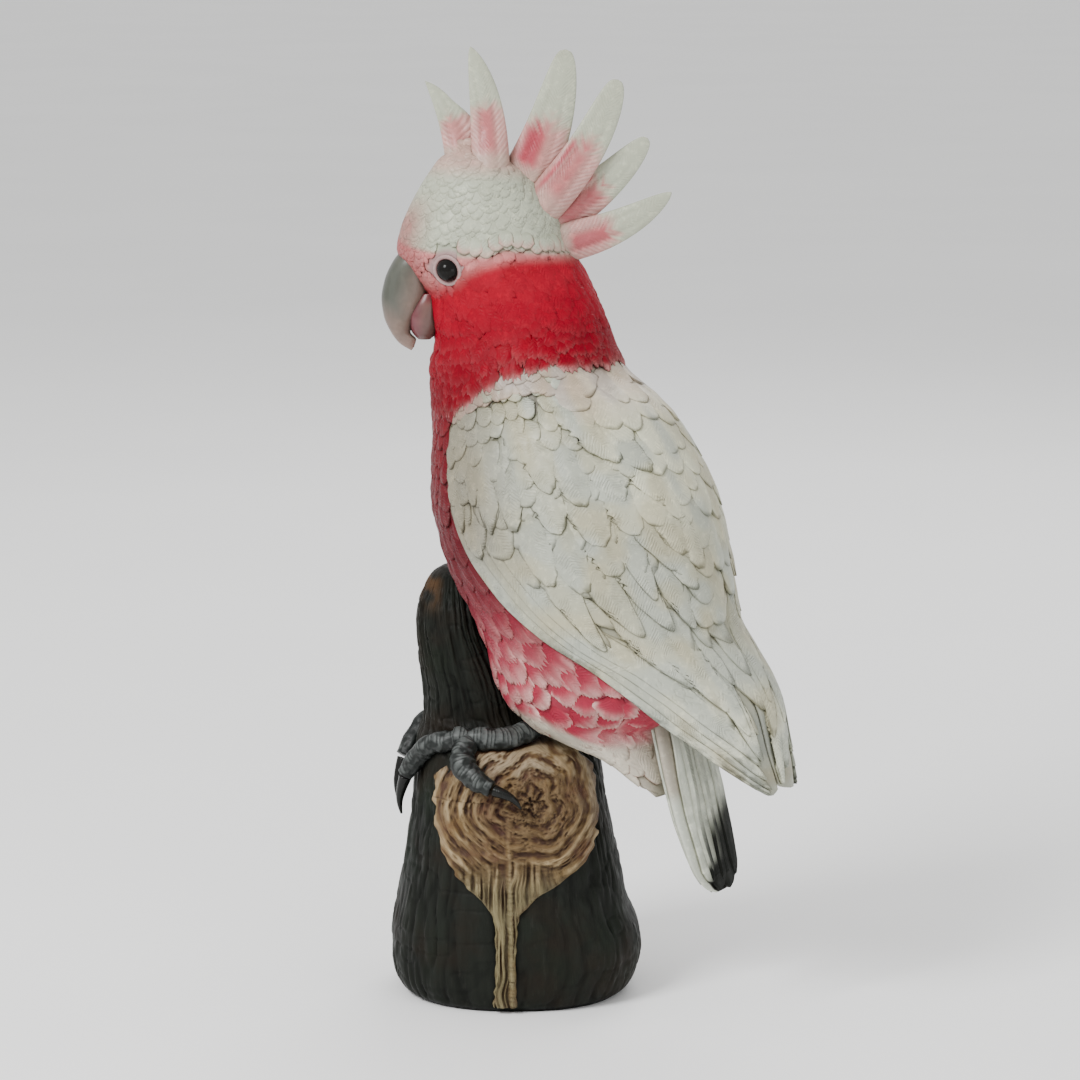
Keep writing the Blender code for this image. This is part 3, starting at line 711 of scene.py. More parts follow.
def write_feathers(name, groups, material, large=False):
    """Joins groups of carved feathers, each (points, what was made, paint), into one piece."""
    all_faces, all_uv = {}, []
    start = done = 0
    total = sum(len(points) for points, _, _ in groups)
    for points, made, _ in groups:
        count, rows, columns = points.shape[:3]
        offset = (start + np.arange(count) * rows * columns)[:, None, None]
        for group in vane_faces(rows, columns):
            corners = group.shape[1]
            all_faces.setdefault(corners, []).append((offset + group[None]).reshape(-1, corners))
        uv = cell_map(made) * [1, count / total] + [0, done / total] if large else root_patch_map(made)
        all_uv.append(uv.reshape(-1, 2))
        start += count * rows * columns
        done += count
    faces = [np.concatenate(same_size) for same_size in all_faces.values()]
    corner_uv = np.concatenate(all_uv)[np.concatenate([group.ravel() for group in faces])]
    points, paint, vane = (
        np.concatenate([array.reshape(-1, 3) for array in arrays])
        for arrays in zip(*((points, paint, made["vane"]) for points, made, paint in groups))
    )
    attributes = [("paint", paint), ("vane", vane)]
    write_piece(name, points, faces, material, (), attributes, corner_uv)


def planted(surface, low, high, pitch, angles, rng, upright_at=90.0, jitter=0.16):
    """Tips of feathers in staggered rows: rows a pitch apart down the meridian at upright_at, and a
    pitch of their own apart along each row, from the first to the last angle that the row allows."""
    meridian = np.linspace(low, high, 600)
    climbed = travelled(surface(meridian, np.full(600, upright_at)))
    rows = max(int(round(climbed[-1] / pitch)), 2)
    heights = np.interp((np.arange(rows) + 0.5) / rows * climbed[-1], climbed, meridian)
    tips = []
    for number, height in enumerate(heights):
        first, last = angles(height)
        if last - first < 1:
            continue
        around = np.linspace(first, last, 400)
        reached = travelled(surface(np.full(400, height), around))
        count = max(int(round(reached[-1] / pitch)), 1)
        stations = (np.arange(count) + 0.25 + 0.5 * (number % 2)) / count * reached[-1]
        stations = stations + rng.uniform(-jitter, jitter, count) * pitch
        risen = height + rng.uniform(-jitter, jitter, count) * pitch
        tips.append(stacked(risen, np.interp(stations, reached, around) % 360))
    return np.concatenate(tips)


# ---- paint


def side_angle(angle):
    """Angles on the right side folded onto the left one."""
    return 180 - np.abs(180 - np.asarray(angle) % 360)


# ---- borders between paints, as (angle folded onto the left side, height)
CAP_BORDER = (
    (0, 334), (25, 331), (53, 328.5), (78, 327), (93, 327.5), (104, 330), (121, 329), (180, 326),
)
RED_BORDER = (
    (0, 311.5), (25, 311.5), (42, 313), (60, 315.5), (72, 319), (89, 323), (119, 326), (180, 324),
)
NECK_LINE = (
    (40, 262), (62, 265.5), (72, 270), (84, 274.5), (100, 277), (120, 277), (140, 273.5),
    (160, 271.5), (180, 271),
)
VENT_LINE = ((0, 132), (50, 130), (70, 129), (90, 124), (110, 119), (180, 119))


def body_paint(height, angle):
    """The plumage's colour, with painted shade on the lower neck and the breast strip, its pale
    edge colour and how strong that edge is, at a place on the body. Each paint covers those before it
    on its own side of a soft border."""
    around = side_angle(angle)
    above_neck = height - curve_through(NECK_LINE, around)
    in_cap = smooth(-1.5, 1.5, height - curve_through(CAP_BORDER, around))
    in_red = smooth(3.5, -3.0, height - curve_through(RED_BORDER, around))
    over_bill = smooth(58, 22, around) * smooth(356, 338, height)
    base = mix(paints().blush, paints().crown, in_cap)
    base = mix(base, paints().forehead, 0.85 * over_bill)
    base = mix(base, paints().blush, 0.55 * smooth(358, 367, height))
    # Painted shade: the crimson grows darker down the neck towards the collar, where the light falls off.
    depth = 0.38 + 0.48 * smooth(266, 316, height)
    crimson = np.array(paints().crimson) * depth[..., None]
    crimson = mix(crimson, paints().blush, 0.02 * smooth(304, 320, height))
    base = mix(base, crimson, in_red)
    # Painted shade: the dark breast paint covers the strip in front of the wing, which turns away from the
    # light.
    base = mix(base, paints().breast, smooth(262, 205, height))
    base = mix(base, paints().belly, smooth(196, 140, height))
    vent = smooth(3, -3, height - curve_through(VENT_LINE, around))
    vent = np.maximum(vent, smooth(150, 168, around) * smooth(150, 135, height))
    base = mix(base, paints().vent, vent)
    on_back = smooth(1, -3, above_neck) * smooth(-1, 3, around - curve_through(LOWER_EDGE, height))
    base = mix(base, paints().wing, on_back * smooth(150, 170, height))
    in_neck = smooth(262, 274, height)
    caught = 0.10 + 0.26 * smooth(304, 284, height)
    edge = mix(base, BELLY_EDGE, 0.16 + 0.74 * smooth(186, 138, height))
    edge = mix(edge, np.array(paints().vent) * 1.1, vent)
    edge = mix(edge, mix(crimson, NECK_EDGE, caught), in_neck)
    edge = mix(edge, paints().crown, in_cap)
    collar = smooth(12, 2, above_neck) * smooth(50, 65, around)
    strength = 0.28 + 0.72 * smooth(196, 138, height) - 0.1 * in_cap + 0.2 * collar
    return base, edge, strength + 0.12 * in_neck * (1 - in_cap)


def paint_feathers(made, base, edge, strength, dark, line, rng):
    """A feather is darkest in the recess at its root and on its rim, and palest along its tip, in brush
    strokes. With line, a stain follows its border as well, here thin and there smudged or gone."""
    u, v = made["u"], made["v"]
    distance, _, seed = np.moveaxis(made["vane"], -1, 0)
    beside = np.abs(v)
    side = smooth(0.6, 0.95, beside) * smooth(0.25, 0.6, u)
    brushed = np.maximum(smooth(0.45, 0.95, u) * (0.6 + 0.4 * beside), 0.8 * side)
    brushed = brushed * (0.55 + 0.75 * hash_noise(4.5 * v + 7 * seed, 1.5 * u, SEED + 70))
    colour = mix(base, edge, brushed * strength)
    colour = colour * (1 + 0.07 * rng.uniform(-1, 1, (len(u), 1, 1, 1)))
    recess = base * (0.25 + 0.75 * base / (base.max(axis=-1, keepdims=True) + 1e-6)) * 0.5
    colour = mix(colour, recess, dark * smooth(0.5, 0, u))
    if line:
        patchy = smooth(0.3, 0.62, hash_noise(distance / 3.5 + seed, 2.5 * v + seed * 3, SEED))
        width = 0.03 + 0.15 * patchy**2
        border = np.maximum(smooth(1 - width, 1.0, beside), smooth(1 - 0.6 * width, 1.0, u))
        colour = mix(colour, recess * 0.6, line * (0.3 + 0.7 * patchy) * border * smooth(0.2, 0.4, u))
    return mix(colour, recess, np.clip(2 * dark, 0.1, 0.9) * made["rim"])


# ---- materials


def new_material(name, roughness, coat=0.0, shine=0.25):
    """A plain paint, varnished where it has a coat."""
    material = bpy.data.materials.new(name)
    material.use_nodes = True
    shader = material.node_tree.nodes["Principled BSDF"]
    shader.inputs["Roughness"].default_value = roughness
    shader.inputs["Specular IOR Level"].default_value = shine
    shader.inputs["Coat Weight"].default_value = coat
    shader.inputs["Coat Roughness"].default_value = 0.22
    return material


class Nodes:
    """Short ways to add and join the nodes of one material."""

    def __init__(self, material):
        self.tree = material.node_tree
        self.shader = self.tree.nodes["Principled BSDF"]

    def add(self, kind, inputs=None, **settings):
        """Adds a node, with its inputs set to values or joined to sockets."""
        node = self.tree.nodes.new(kind)
        for key, value in settings.items():
            setattr(node, key, value)
        for key, value in (inputs or {}).items():
            if isinstance(value, bpy.types.NodeSocket):
                self.tree.links.new(value, node.inputs[key])
            else:
                node.inputs[key].default_value = value
        return node

    def math(self, operation, *values, clamp=False):
        """One operation of arithmetic."""
        node = self.add("ShaderNodeMath", dict(enumerate(values)), operation=operation, use_clamp=clamp)
        return node.outputs[0]

    def noise(self, scale, detail=3.0, roughness=0.6, vector=None):
        """Noise about 0.5, over the piece's own coordinates where no vector is given."""
        vector = vector or self.add("ShaderNodeTexCoord").outputs["Object"]
        inputs = {"Vector": vector, "Scale": scale, "Detail": detail, "Roughness": roughness}
        return self.add("ShaderNodeTexNoise", inputs).outputs["Fac"]

    def stretched(self, scale, vector=None):
        """Coordinates multiplied by a scale, the piece's own ones where no vector is given."""
        vector = vector or self.add("ShaderNodeTexCoord").outputs["Object"]
        return self.add("ShaderNodeMapping", {"Vector": vector, "Scale": scale}).outputs[0]

    def ramp(self, value, low, high, to_low=0.0, to_high=1.0):
        """A soft step from to_low, where the value is at low, to to_high, where it is at high."""
        inputs = {"Value": value, "From Min": low, "From Max": high, "To Min": to_low, "To Max": to_high}
        return self.add("ShaderNodeMapRange", inputs, interpolation_type="SMOOTHSTEP").outputs[0]

    def blend(self, first, second, factor, kind="MIX"):
        """Goes from the first colour to the second, or to their product, as the factor says."""
        colours = [c if isinstance(c, bpy.types.NodeSocket) else (*c, 1) for c in (first, second)]
        inputs = {0: factor, 6: colours[0], 7: colours[1]}
        return self.add("ShaderNodeMix", inputs, data_type="RGBA", blend_type=kind).outputs[2]

    def tint(self, colour, by, factor):
        """Multiplies a colour by another one, as far as the factor says."""
        return self.blend(colour, by, factor, "MULTIPLY")

    def attribute(self, name, output="Color"):
        """A value that each vertex holds."""
        return self.add("ShaderNodeAttribute", attribute_name=name).outputs[output]

    def crevice(self, distance):
        """1 in the recesses between carved forms and 0 in the open."""
        inputs = {"Distance": distance}
        open_share = self.add("ShaderNodeAmbientOcclusion", inputs, samples=6).outputs["AO"]
        return self.ramp(open_share, 0.5, 0.93, 1.0, 0.0)

    def bump(self, height, strength, distance, normal=None):
        """Fine relief, over the relief that a normal brings."""
        inputs = {"Height": height, "Strength": strength, "Distance": distance}
        if normal is not None:
            inputs["Normal"] = normal
        return self.add("ShaderNodeBump", inputs).outputs["Normal"]

    def finish(self, colour, normal=None, roughness=None):
        """Joins what is given to the shader."""
        for name, value in (("Base Color", colour), ("Normal", normal), ("Roughness", roughness)):
            if value is not None:
                self.tree.links.new(value, self.shader.inputs[name])


def painted_plumage(
    name, wash, barb_depth, roughness=0.42, coat=0.06, wash_reach=1.6 * MM, hatch=0.12, shine=0.25
):
    """Brushed paint over carved feathers: the vertex paint, mottled by two sizes of noise, with a dark
    wash that has run into the recesses and fine barb lines that slant out from each shaft."""
    if name in bpy.data.materials:
        return bpy.data.materials[name]
    material = new_material(name, roughness, coat, shine)
    n = Nodes(material)
    paint = n.attribute("paint")
    mottled = n.tint(paint, (0.80, 0.78, 0.74), n.ramp(n.noise(90, 4), 0.45, 0.75, 0, 0.28))
    mottled = n.tint(mottled, (1.35, 1.33, 1.30), n.ramp(n.noise(420, 3), 0.5, 0.72, 0, 0.7))
    place = n.add("ShaderNodeSeparateXYZ", {0: n.attribute("vane", "Vector")})
    waver = n.noise(260, 2)
    slant = n.math("MULTIPLY_ADD", n.math("ABSOLUTE", place.outputs["Y"]), -0.85, place.outputs["X"])
    slant = n.math("ADD", n.math("MULTIPLY_ADD", waver, 2.6, slant), place.outputs["Z"])
    lines = n.math("SINE", n.math("MULTIPLY", slant, 2 * np.pi / 1.7))
    lines = n.math("MULTIPLY_ADD", lines, 0.5, 0.5)
    breaks = n.ramp(n.noise(150, 2), 0.38, 0.62)
    barbs = n.math("MULTIPLY", lines, breaks)
    crevice = n.crevice(wash_reach)
    dirt = n.math("MULTIPLY", crevice, n.ramp(n.noise(55, 3), 0.25, 0.6, 0.55, 1.0), clamp=True)
    dirt = n.math("MAXIMUM", dirt, n.math("MULTIPLY", n.ramp(barbs, 0.7, 1.0), hatch))
    washed = n.tint(mottled, wash, n.math("MULTIPLY", dirt, 0.85))
    normal = n.bump(n.math("MULTIPLY", barbs, -1), barb_depth, 0.25 * MM)
    normal = n.bump(n.noise(900, 4), 0.22, 0.12 * MM, normal)
    rough = n.ramp(n.noise(130, 3), 0.3, 0.7, roughness - 0.08, roughness + 0.1)
    n.finish(washed, normal, rough)
    return material


# ---- skin and small feathers


def skin_inset(height, angle, depth):
    """The skin lies under the coat, and deeper in the bed that each wing lies in."""
    bed = np.zeros_like(height)
    for side in (1, -1):
        lower = curve_through(LOWER_EDGE, height)
        inner = curve_through(INNER_EDGE[side], height)
        around = angle if side == 1 else 360 - angle
        within = smooth(1, 5, around - lower) * smooth(1, 5, inner - around)
        bed = np.maximum(bed, within * (height < WING_TOP + 2))
    return depth + bed * (WING_THICKNESS + 0.3)


def build_skin():
    """One closed tube up the bird: the body's surface, drawn in by the coat's depth, with a bare patch
    round each eye."""
    depth = relief("coat_depth")
    rows, around = 310, 280
    spread = 1 - (1 - np.linspace(0, 1, rows)) ** 1.15
    height = LOWEST + 0.2 + (HIGHEST - LOWEST - 0.4) * spread
    angle = -np.linspace(0, 360, around, endpoint=False) % 360
    height, angle = np.meshgrid(height, angle, indexing="ij")
    rings = lifted(body_surface, height, angle, -skin_inset(height, angle, depth))
    base, _, _ = body_paint(height, angle)
    reach = size_of((rings - EYE_CENTRE)[..., [0, 2]])
    near = smooth(EYE_PATCH + 1.5, EYE_PATCH - 1.5, reach) * (height > 305)
    base = mix(base * 0.85, paints().eye_skin, near)
    vane = stacked(height, 0, 0)
    material = painted_plumage("brushed_skin", WHITE_WASH, 0.0)
    write_tube("skin", rings, material, ("head", "neck", "trunk"), base, vane)


def lean_on_body(height, angle):
    """How far the feathers lean back from straight down: more on the flank than on breast and nape, and
    most on the sides of the neck, whose tufts sweep towards the nape."""
    around = side_angle(angle)
    flank = np.sin(np.radians(around))
    low, high = smooth(262, 180, height), smooth(300, 330, height)
    beside_nape = smooth(70, 118, around) * smooth(178, 145, around)
    swept = beside_nape * smooth(258, 276, height) * smooth(322, 306, height)
    return 8 + 26 * flank * low - 14 * flank * high + 22 * swept


def painted_feathers(surface, centre, half_width, vane, rng, colours, dark=0.45, line=0.0, limit=None):
    """Carves feathers along centre lines and paints them with the colours of their places."""
    points, made = carve(surface, centre, half_width, vane, rng, limit)
    base, edge, strength = colours(made["place"][..., 0], made["place"][..., 1])
    return points, made, paint_feathers(made, base, edge, strength, dark, line, rng)


def painted_group(
    surface, tips, length, half_width, vane, rng, lean=None, colours=body_paint, line=0.0,
    limit=None, dark=0.45,
):
    """Feathers with straight lines whose tips are given, turned and sized one by one."""
    side = np.where(tips[:, 1] % 360 <= 180, 1, -1)
    lean = lean_on_body(tips[:, 0], tips[:, 1]) if lean is None else lean
    lean = lean + rng.normal(0, 10, len(tips))
    size = rng.uniform(0.84, 1.2, len(tips))
    centre = straight_lines(surface, tips, lean, length * size, side)
    half_width = half_width * size * rng.uniform(0.94, 1.08, len(tips))
    return painted_feathers(surface, centre, half_width, vane, rng, colours, dark, line, limit)


def far_from_eye(tips, reach, length):
    """Keeps the feathers that lie outside the bare patch round each eye, from tip to root."""
    keep = np.ones(len(tips), bool)
    for share in (0.0, 0.5, 0.9):
        point = body_surface(tips[:, 0] + share * length, tips[:, 1])
        away = size_of((point - EYE_CENTRE)[:, [0, 2]])
        keep &= (away > reach) | (np.abs(point[:, 1]) < 10)
    return tips[keep]


def above(border, tips):
    """How far tips lie above a border between paints."""
    return tips[:, 0] - curve_through(border, side_angle(tips[:, 1]))


def build_head_feathers():
    """Low scallops all over the cap, finer ones over the bill, and one row of larger ones along the
    cap's border."""
    rng = np.random.default_rng(SEED + 1)
    fine = Vane(
        along=6, across=7, sunk=-0.85, proud=-0.72, floor=-1.4, camber=0.05, point=0.4, fray=0.07,
        ray_count=2.4, waist=0.8,
    )
    tips = planted(body_surface, 325, 369.5, 3.7, lambda height: (0, 360), rng, jitter=0.45)
    tips = far_from_eye(tips[above(CAP_BORDER, tips) > -1], EYE_PATCH, 5)
    groups = [painted_group(body_surface, tips, 9.5, 3.7, fine, rng, dark=0.06)]
    tips = planted(body_surface, 308, 334, 2.6, lambda height: (-66, 66), rng, jitter=0.3)
    tips = far_from_eye(tips[above(CAP_BORDER, tips) < 1], EYE_PATCH, 3)
    groups.append(painted_group(body_surface, tips, 5.4, 1.9, fine, rng))
    around = np.linspace(78, 282, 30) + rng.uniform(-1.5, 1.5, 30)
    height = curve_through(CAP_BORDER, side_angle(around)) + rng.uniform(-1.2, 1.2, 30)
    tips = stacked(height, around)
    border = Vane(
        along=8, across=9, sunk=-0.95, proud=-0.1, camber=0.2, droop=0.1, point=0.3, rays=0.1, fray=0.07
    )
    groups.append(painted_group(body_surface, tips, 8.5, 3.4, border, rng, colours=border_paint, line=0.9))
    material = painted_plumage("brushed_crown", CROWN_WASH, 0.6, wash_reach=0.7 * MM)
    write_feathers("head_feathers", groups, material)


def build_neck_feathers():
    """Soft ragged tufts from the pale band under the cap down to the collar, whose last row lies over
    the tops of the wings."""
    rng = np.random.default_rng(SEED + 2)
    tuft = Vane(
        along=9, across=13, sunk=-1.3, proud=0.65, camber=1.0, droop=1.0, point=0.2,
        fray=0.14, rays=0.3, ray_count=3.4, waist=0.85,
    )
    soft = tuft._replace(proud=-0.2, camber=0.4, rays=0.15)
    tips = planted(body_surface, 262, 326, 5.4, lambda height: (0, 360), rng, jitter=0.26)
    around = side_angle(tips[:, 1])
    keep = above(CAP_BORDER, tips) < -1.5
    keep &= (above(RED_BORDER, tips) < 2) | (around > 70)
    keep &= (above(NECK_LINE, tips) > 0.5) | (around < 50)
    low = tips[:, 0] <= 314 - 12 * smooth(70, 58, around)
    upper = far_from_eye(tips[keep & ~low], EYE_PATCH, 6)
    lower = far_from_eye(tips[keep & low], EYE_PATCH, 8)
    groups = [painted_group(body_surface, upper, 7.5, 3.4, soft, rng)]
    groups.append(painted_group(body_surface, lower, 13, 5.2, tuft, rng))
    for drop, proud in ((2.5, 0.9), (-2.5, 0.8)):
        around = np.linspace(47, 313, 50) + rng.uniform(-2, 2, 50)
        height = curve_through(NECK_LINE, side_angle(around)) - drop + rng.uniform(-1.8, 1.8, 50)
        tips = stacked(height, around)
        collar = tuft._replace(sunk=-0.3, proud=proud, fray=0.24, point=0.3)
        groups.append(painted_group(cloak_surface, tips, 13, 4.0, collar, rng, colours=collar_paint))
    material = painted_plumage("brushed_neck", RED_WASH, 0.6, roughness=0.45, coat=0.0, shine=0.07)
    write_feathers("neck_feathers", groups, material)


def collar_paint(height, angle):
    """Crimson with pale pink tips, paler the nearer they are to the wing."""
    base, _, _ = body_paint(height + 9, angle)
    above_wing = height - curve_through(NECK_LINE, side_angle(angle))
    return base, mix(base, COLLAR_EDGE, 0.9), 0.22 + 0.8 * smooth(1.5, -3.5, above_wing)


def border_paint(height, angle):
    """The cap's whitish paint with a breath of pink on the tips."""
    return np.array(paints().crown), mix(paints().crown, paints().blush, 0.75), 0.9


def under_wing_rim(place):
    """Holds a place on the flank in front of the folded wings' lower edges, and says how far a feather
    that would pass them sinks."""
    height, around = place[..., 0], place[..., 1] % 360
    rim = curve_through(LOWER_EDGE, height) + 1.5 + 14 * smooth(152, 138, height)
    folded = side_angle(around)
    held = np.minimum(folded, rim)
    angle = np.where(around <= 180, held, 360 - held)
    on_flank = smooth(8, 1, rim - folded) * (height < WING_TOP)
    return stacked(height, np.where(height < WING_TOP, angle, around)), 0.7 * on_flank


def build_breast_feathers():
    """Scallops down the breast that grow into wide fanned tufts on the belly, with long smooth coverts
    under the tail."""
    rng = np.random.default_rng(SEED + 3)
    scallop = Vane(
        along=8, across=11, sunk=-1.4, proud=0.45, floor=-2.0, camber=1.0, droop=0.6, point=0.3,
        fray=0.07, rays=0.32, ray_count=3.0,
    )
    tuft = scallop._replace(
        along=12, across=23, sunk=-1.8, proud=0.8, camber=1.5, droop=1.1, rays=0.55, ray_count=5.5,
        fray=0.09,
    )
    covert = Vane(
        along=18, across=11, sunk=-1.0, proud=0.3, camber=0.8, droop=0.3, point=0.3,
        rays=0.2, shaft=0.15,
    )

    def front(height):
        """From one wing's lower edge round the breast to the other's, and a little beyond it low down."""
        edge = float(curve_through(LOWER_EDGE, max(height, WING_BOTTOM)))
        edge += 17 * smooth(152, 138, height) - 3
        return -edge, edge

    tips = planted(body_surface, 98, 119, 9, lambda height: (-158, 158), rng, jitter=0.2)
    groups = [painted_group(body_surface, tips, 27, 6.3, covert, rng, lean=20)]
    tips = planted(body_surface, 118, 198, 10.0, front, rng, upright_at=60, jitter=0.24)
    groups.append(painted_group(body_surface, tips, 20, 8.0, tuft, rng, limit=under_wing_rim))
    tips = planted(body_surface, 196, 264, 6.3, front, rng, upright_at=30, jitter=0.22)
    groups.append(painted_group(body_surface, tips, 12, 4.7, scallop, rng, limit=under_wing_rim))
    material = painted_plumage("brushed_breast", PINK_WASH, 0.7, coat=0.0, shine=0.15)
    write_feathers("breast_feathers", groups, material)


def build_mantle_feathers():
    """Broad rounded feathers on the back between the wings, and two fringes of small ones that come out
    from under the collar."""
    rng = np.random.default_rng(SEED + 4)
    vane = Vane(
        along=20, across=13, sunk=-1.3, proud=0.9, camber=1.0, droop=0.5, point=0.34,
        fray=0.03, ray_count=4.5, rays=0.08, nicks=0.12, nick_count=9,
    )

    def between(height):
        """From one wing's inner edge to the other's, and wider above the wings."""
        left, right = 60.0, 300.0
        if height < WING_TOP:
            left, right = (float(wing_angle(side, height, 0.97)) for side in (1, -1))
        return min(left, right) - 4, max(left, right) + 4

    tips = planted(cloak_surface, 166, 264, 11.5, between, rng, upright_at=180, jitter=0.2)
    groups = [painted_group(cloak_surface, tips, 22, 8.4, vane, rng, 0, mantle_paint, line=0.8)]
    around = np.concatenate([np.linspace(60, 142, 15), np.linspace(218, 300, 15)])
    around = around + rng.uniform(-1.5, 1.5, 30)
    fringe = SMALL_COVERT._replace(nicks=0.0, fray=0.06)
    covered = {"colours": mantle_paint, "line": 0.6}
    for drop in (5.5, 10.5):
        height = curve_through(NECK_LINE, side_angle(around + drop)) - drop + rng.uniform(-1, 1, 30)
        tips = stacked(height, around)
        groups.append(painted_group(cloak_surface, tips, 11, 5.0, fringe, rng, **covered))
    material = painted_plumage("brushed_mantle", WHITE_WASH, 0.5)
    write_feathers("mantle_feathers", groups, material)


def mantle_paint(height, angle):
    """The wing's colour with a breath of pink near the collar."""
    base, edge, strength = wing_paint(height, angle)
    near = 0.25 * smooth(248, 268, height)
    shade = (1 - 0.15 * smooth(262, 272, height))[..., None]
    return mix(base, paints().blush, near) * shade, mix(edge, paints().blush, near) * shade, strength


# ---- wings


def wing_ring(height, side, count=36):
    """A wing section's shell: back along the outer face, sunk under the feathers, then out along the
    inner one."""
    depth = relief("coat_depth")
    share = np.linspace(0, 1, count)
    height = np.full(count, height)
    angle = wing_angle(side, height, share) + side * 0.35 * (1 - 2 * share)
    outer = bird_point(height, angle, depth)
    inner = bird_point(height, angle, WING_THICKNESS)
    return np.concatenate([outer[::-1], inner] if side == 1 else [outer, inner[::-1]])


class CovertRow(NamedTuple):
    """One row of wing feathers: heights of its tips at the lower edge, middle and inner edge, the shares
    of the wing's width that it spans, how many, their length and the lean at both ends."""

    heights: tuple
    spans: tuple
    count: int
    length: tuple
    lean: tuple
    overlap: float = 0.66


SMALL_COVERT = Vane(
    along=12, across=9, sunk=-1.2, proud=0.15, camber=0.45, droop=0.3, point=0.36, fray=0.03,
    ray_count=2.5, nicks=0.3, nick_count=5,
)
UNDER_COVERT = Vane(along=8, across=7, sunk=-1.5, proud=-0.25, camber=0.3, point=0.3)
COVERT = Vane(
    along=34, across=15, sunk=-1.1, proud=0.6, camber=1.0, droop=0.5, point=0.34, fray=0.035,
    ray_count=4.0, rays=0.12, tilt=0.15, nicks=0.6, nick_count=9, barbs=0.16, barb_pitch=3.6,
)
SECONDARY = Vane(
    along=56, across=13, sunk=-1.2, proud=0.5, camber=0.5, droop=0.15, point=0.3, shaft=0.12, tilt=0.35,
    taper=0.35, waist=0.75, barbs=0.18, barb_pitch=3.8, nicks=0.6,
)
PRIMARY = Vane(
    along=60, across=11, sunk=-1.0, proud=0.35, camber=0.3, point=0.12, shaft=0.12, tilt=0.5,
    taper=0.45, waist=0.6, barbs=0.05, barb_pitch=4.0,
)

LESSER_ROWS = (
    CovertRow((264, 266, 268), (0.04, 0.97), 8, (11, 12), (10, 5)),
    CovertRow((256, 259, 261), (0.03, 0.97), 8, (12, 13), (14, 5)),
    CovertRow((248, 251, 253), (0.03, 0.97), 8, (13, 14), (18, 5)),
    CovertRow((240, 243, 245), (0.03, 0.97), 8, (14, 15), (22, 8)),
    CovertRow((231, 234, 237), (0.03, 0.97), 8, (15, 16), (24, 10)),
    CovertRow((222, 226, 230), (0.03, 0.97), 8, (16, 17), (24, 12)),
)
UNDER_ROWS = (
    CovertRow((213, 218, 226), (0.05, 0.97), 9, (17, 20), (24, 10)),
    CovertRow((202, 208, 217), (0.05, 0.97), 8, (20, 24), (26, 12)),
    CovertRow((186, 192, 204), (0.10, 0.98), 8, (30, 32), (30, 14)),
    CovertRow((168, 175, 190), (0.18, 0.98), 7, (38, 40), (33, 14)),
    CovertRow((150, 158, 174), (0.28, 0.98), 6, (42, 44), (36, 16)),
    CovertRow((133, 140, 156), (0.40, 0.98), 5, (42, 46), (38, 18)),
    CovertRow((119, 125, 138), (0.50, 0.98), 4, (42, 46), (40, 20)),
)
# Feathers that stand out in the carving, as root height and angle, tip height and angle, half width.
EDGE_COVERTS = (
    (262, 64, 247, 58, 4.6), (254, 60, 238, 57, 4.8), (245, 59, 229, 56, 4.8), (236, 59, 220, 57, 4.8),
    (227, 60, 210, 61, 5.0), (216, 64, 200, 69, 5.4),
)
OVAL_COVERTS = ((248, 72, 222, 70, 5.0), (259, 81, 211, 77, 7.2), (252, 90, 219, 86, 5.4))
COVERTS = (
    (263, 97, 241, 101, 6.6), (255, 106, 230, 107, 7.6), (252, 118, 225, 119, 8.6),
    (247, 129, 227, 136, 8.0), (243, 93, 213, 88, 6.6), (237, 104, 214, 107, 8.0),
    (237, 119, 209, 123, 9.4), (236, 133, 214, 138, 8.4), (224, 96, 191, 99, 8.4),
    (220, 108, 189, 112, 9.4), (218, 121, 197, 127, 8.4), (217, 131, 198, 137, 7.8),
)
SCAPULARS = (
    (264, 122, 240, 141, 7.0), (256, 138, 236, 154, 7.2), (246, 144, 226, 153, 6.6),
    (244, 154, 219, 160, 7.8), (232, 150, 204, 158, 7.4), (226, 162, 197, 165, 6.8),
    (214, 154, 189, 160, 6.6),
)
SECONDARIES = (
    (182, 148, 117, 158, 6.6), (190, 142, 128, 155, 7.0), (196, 132, 139, 148, 7.6),
    (199, 119, 150, 138, 7.8), (212, 98, 165, 111, 7.4), (210, 112, 171, 130, 7.6),
    (213, 126, 173, 144, 7.6), (226, 134, 186, 139, 6.8), (230, 139, 198, 151, 7.6),
    (213, 144, 173, 155, 7.2),
)
# The right wing lies over the left one on the rump, so it has more feathers by its inner edge.
RIGHT_INNER = (
    (214, 158, 190, 163, 7.0), (204, 160, 172, 166, 7.0), (196, 162, 152, 174, 7.4),
    (190, 168, 140, 184, 7.4), (176, 178, 126, 189, 6.4), (172, 164, 130, 174, 7.4),
    (158, 172, 112, 182, 7.0), (150, 184, 106, 191, 4.6),
)
# Blades along the lower edge: distance from it, root height, tip height and half width.
PRIMARIES = (
    (23.0, 206, 115.0, 5.2), (17.0, 208, 109.0, 5.0), (11.5, 212, 104.5, 4.8), (6.0, 222, 102.6, 4.2),
    (2.2, 262, 101.8, 3.0),
)


def placed_feathers(table, side, vane, rng, line=0.8):
    """Feathers that go in a slight bow from their root to their tip, as the table places them."""
    table = np.array(table, float)
    root, tip = table[:, None, None, 0:2], table[:, None, None, 2:4]
    if side == -1:
        root, tip = root * [1, -1] + [0, 360], tip * [1, -1] + [0, 360]

    def centre(u):
        """A straight line from root to tip, bent by a parabola."""
        bow = 4 * u * (1 - u)
        return root + (tip - root) * u[..., None] + stacked(0.5 * bow, -2.0 * side * bow)

    vane = vane._replace(tilt=vane.tilt * side)
    return painted_feathers(cloak_surface, centre, table[:, 4], vane, rng, wing_paint, line=line)


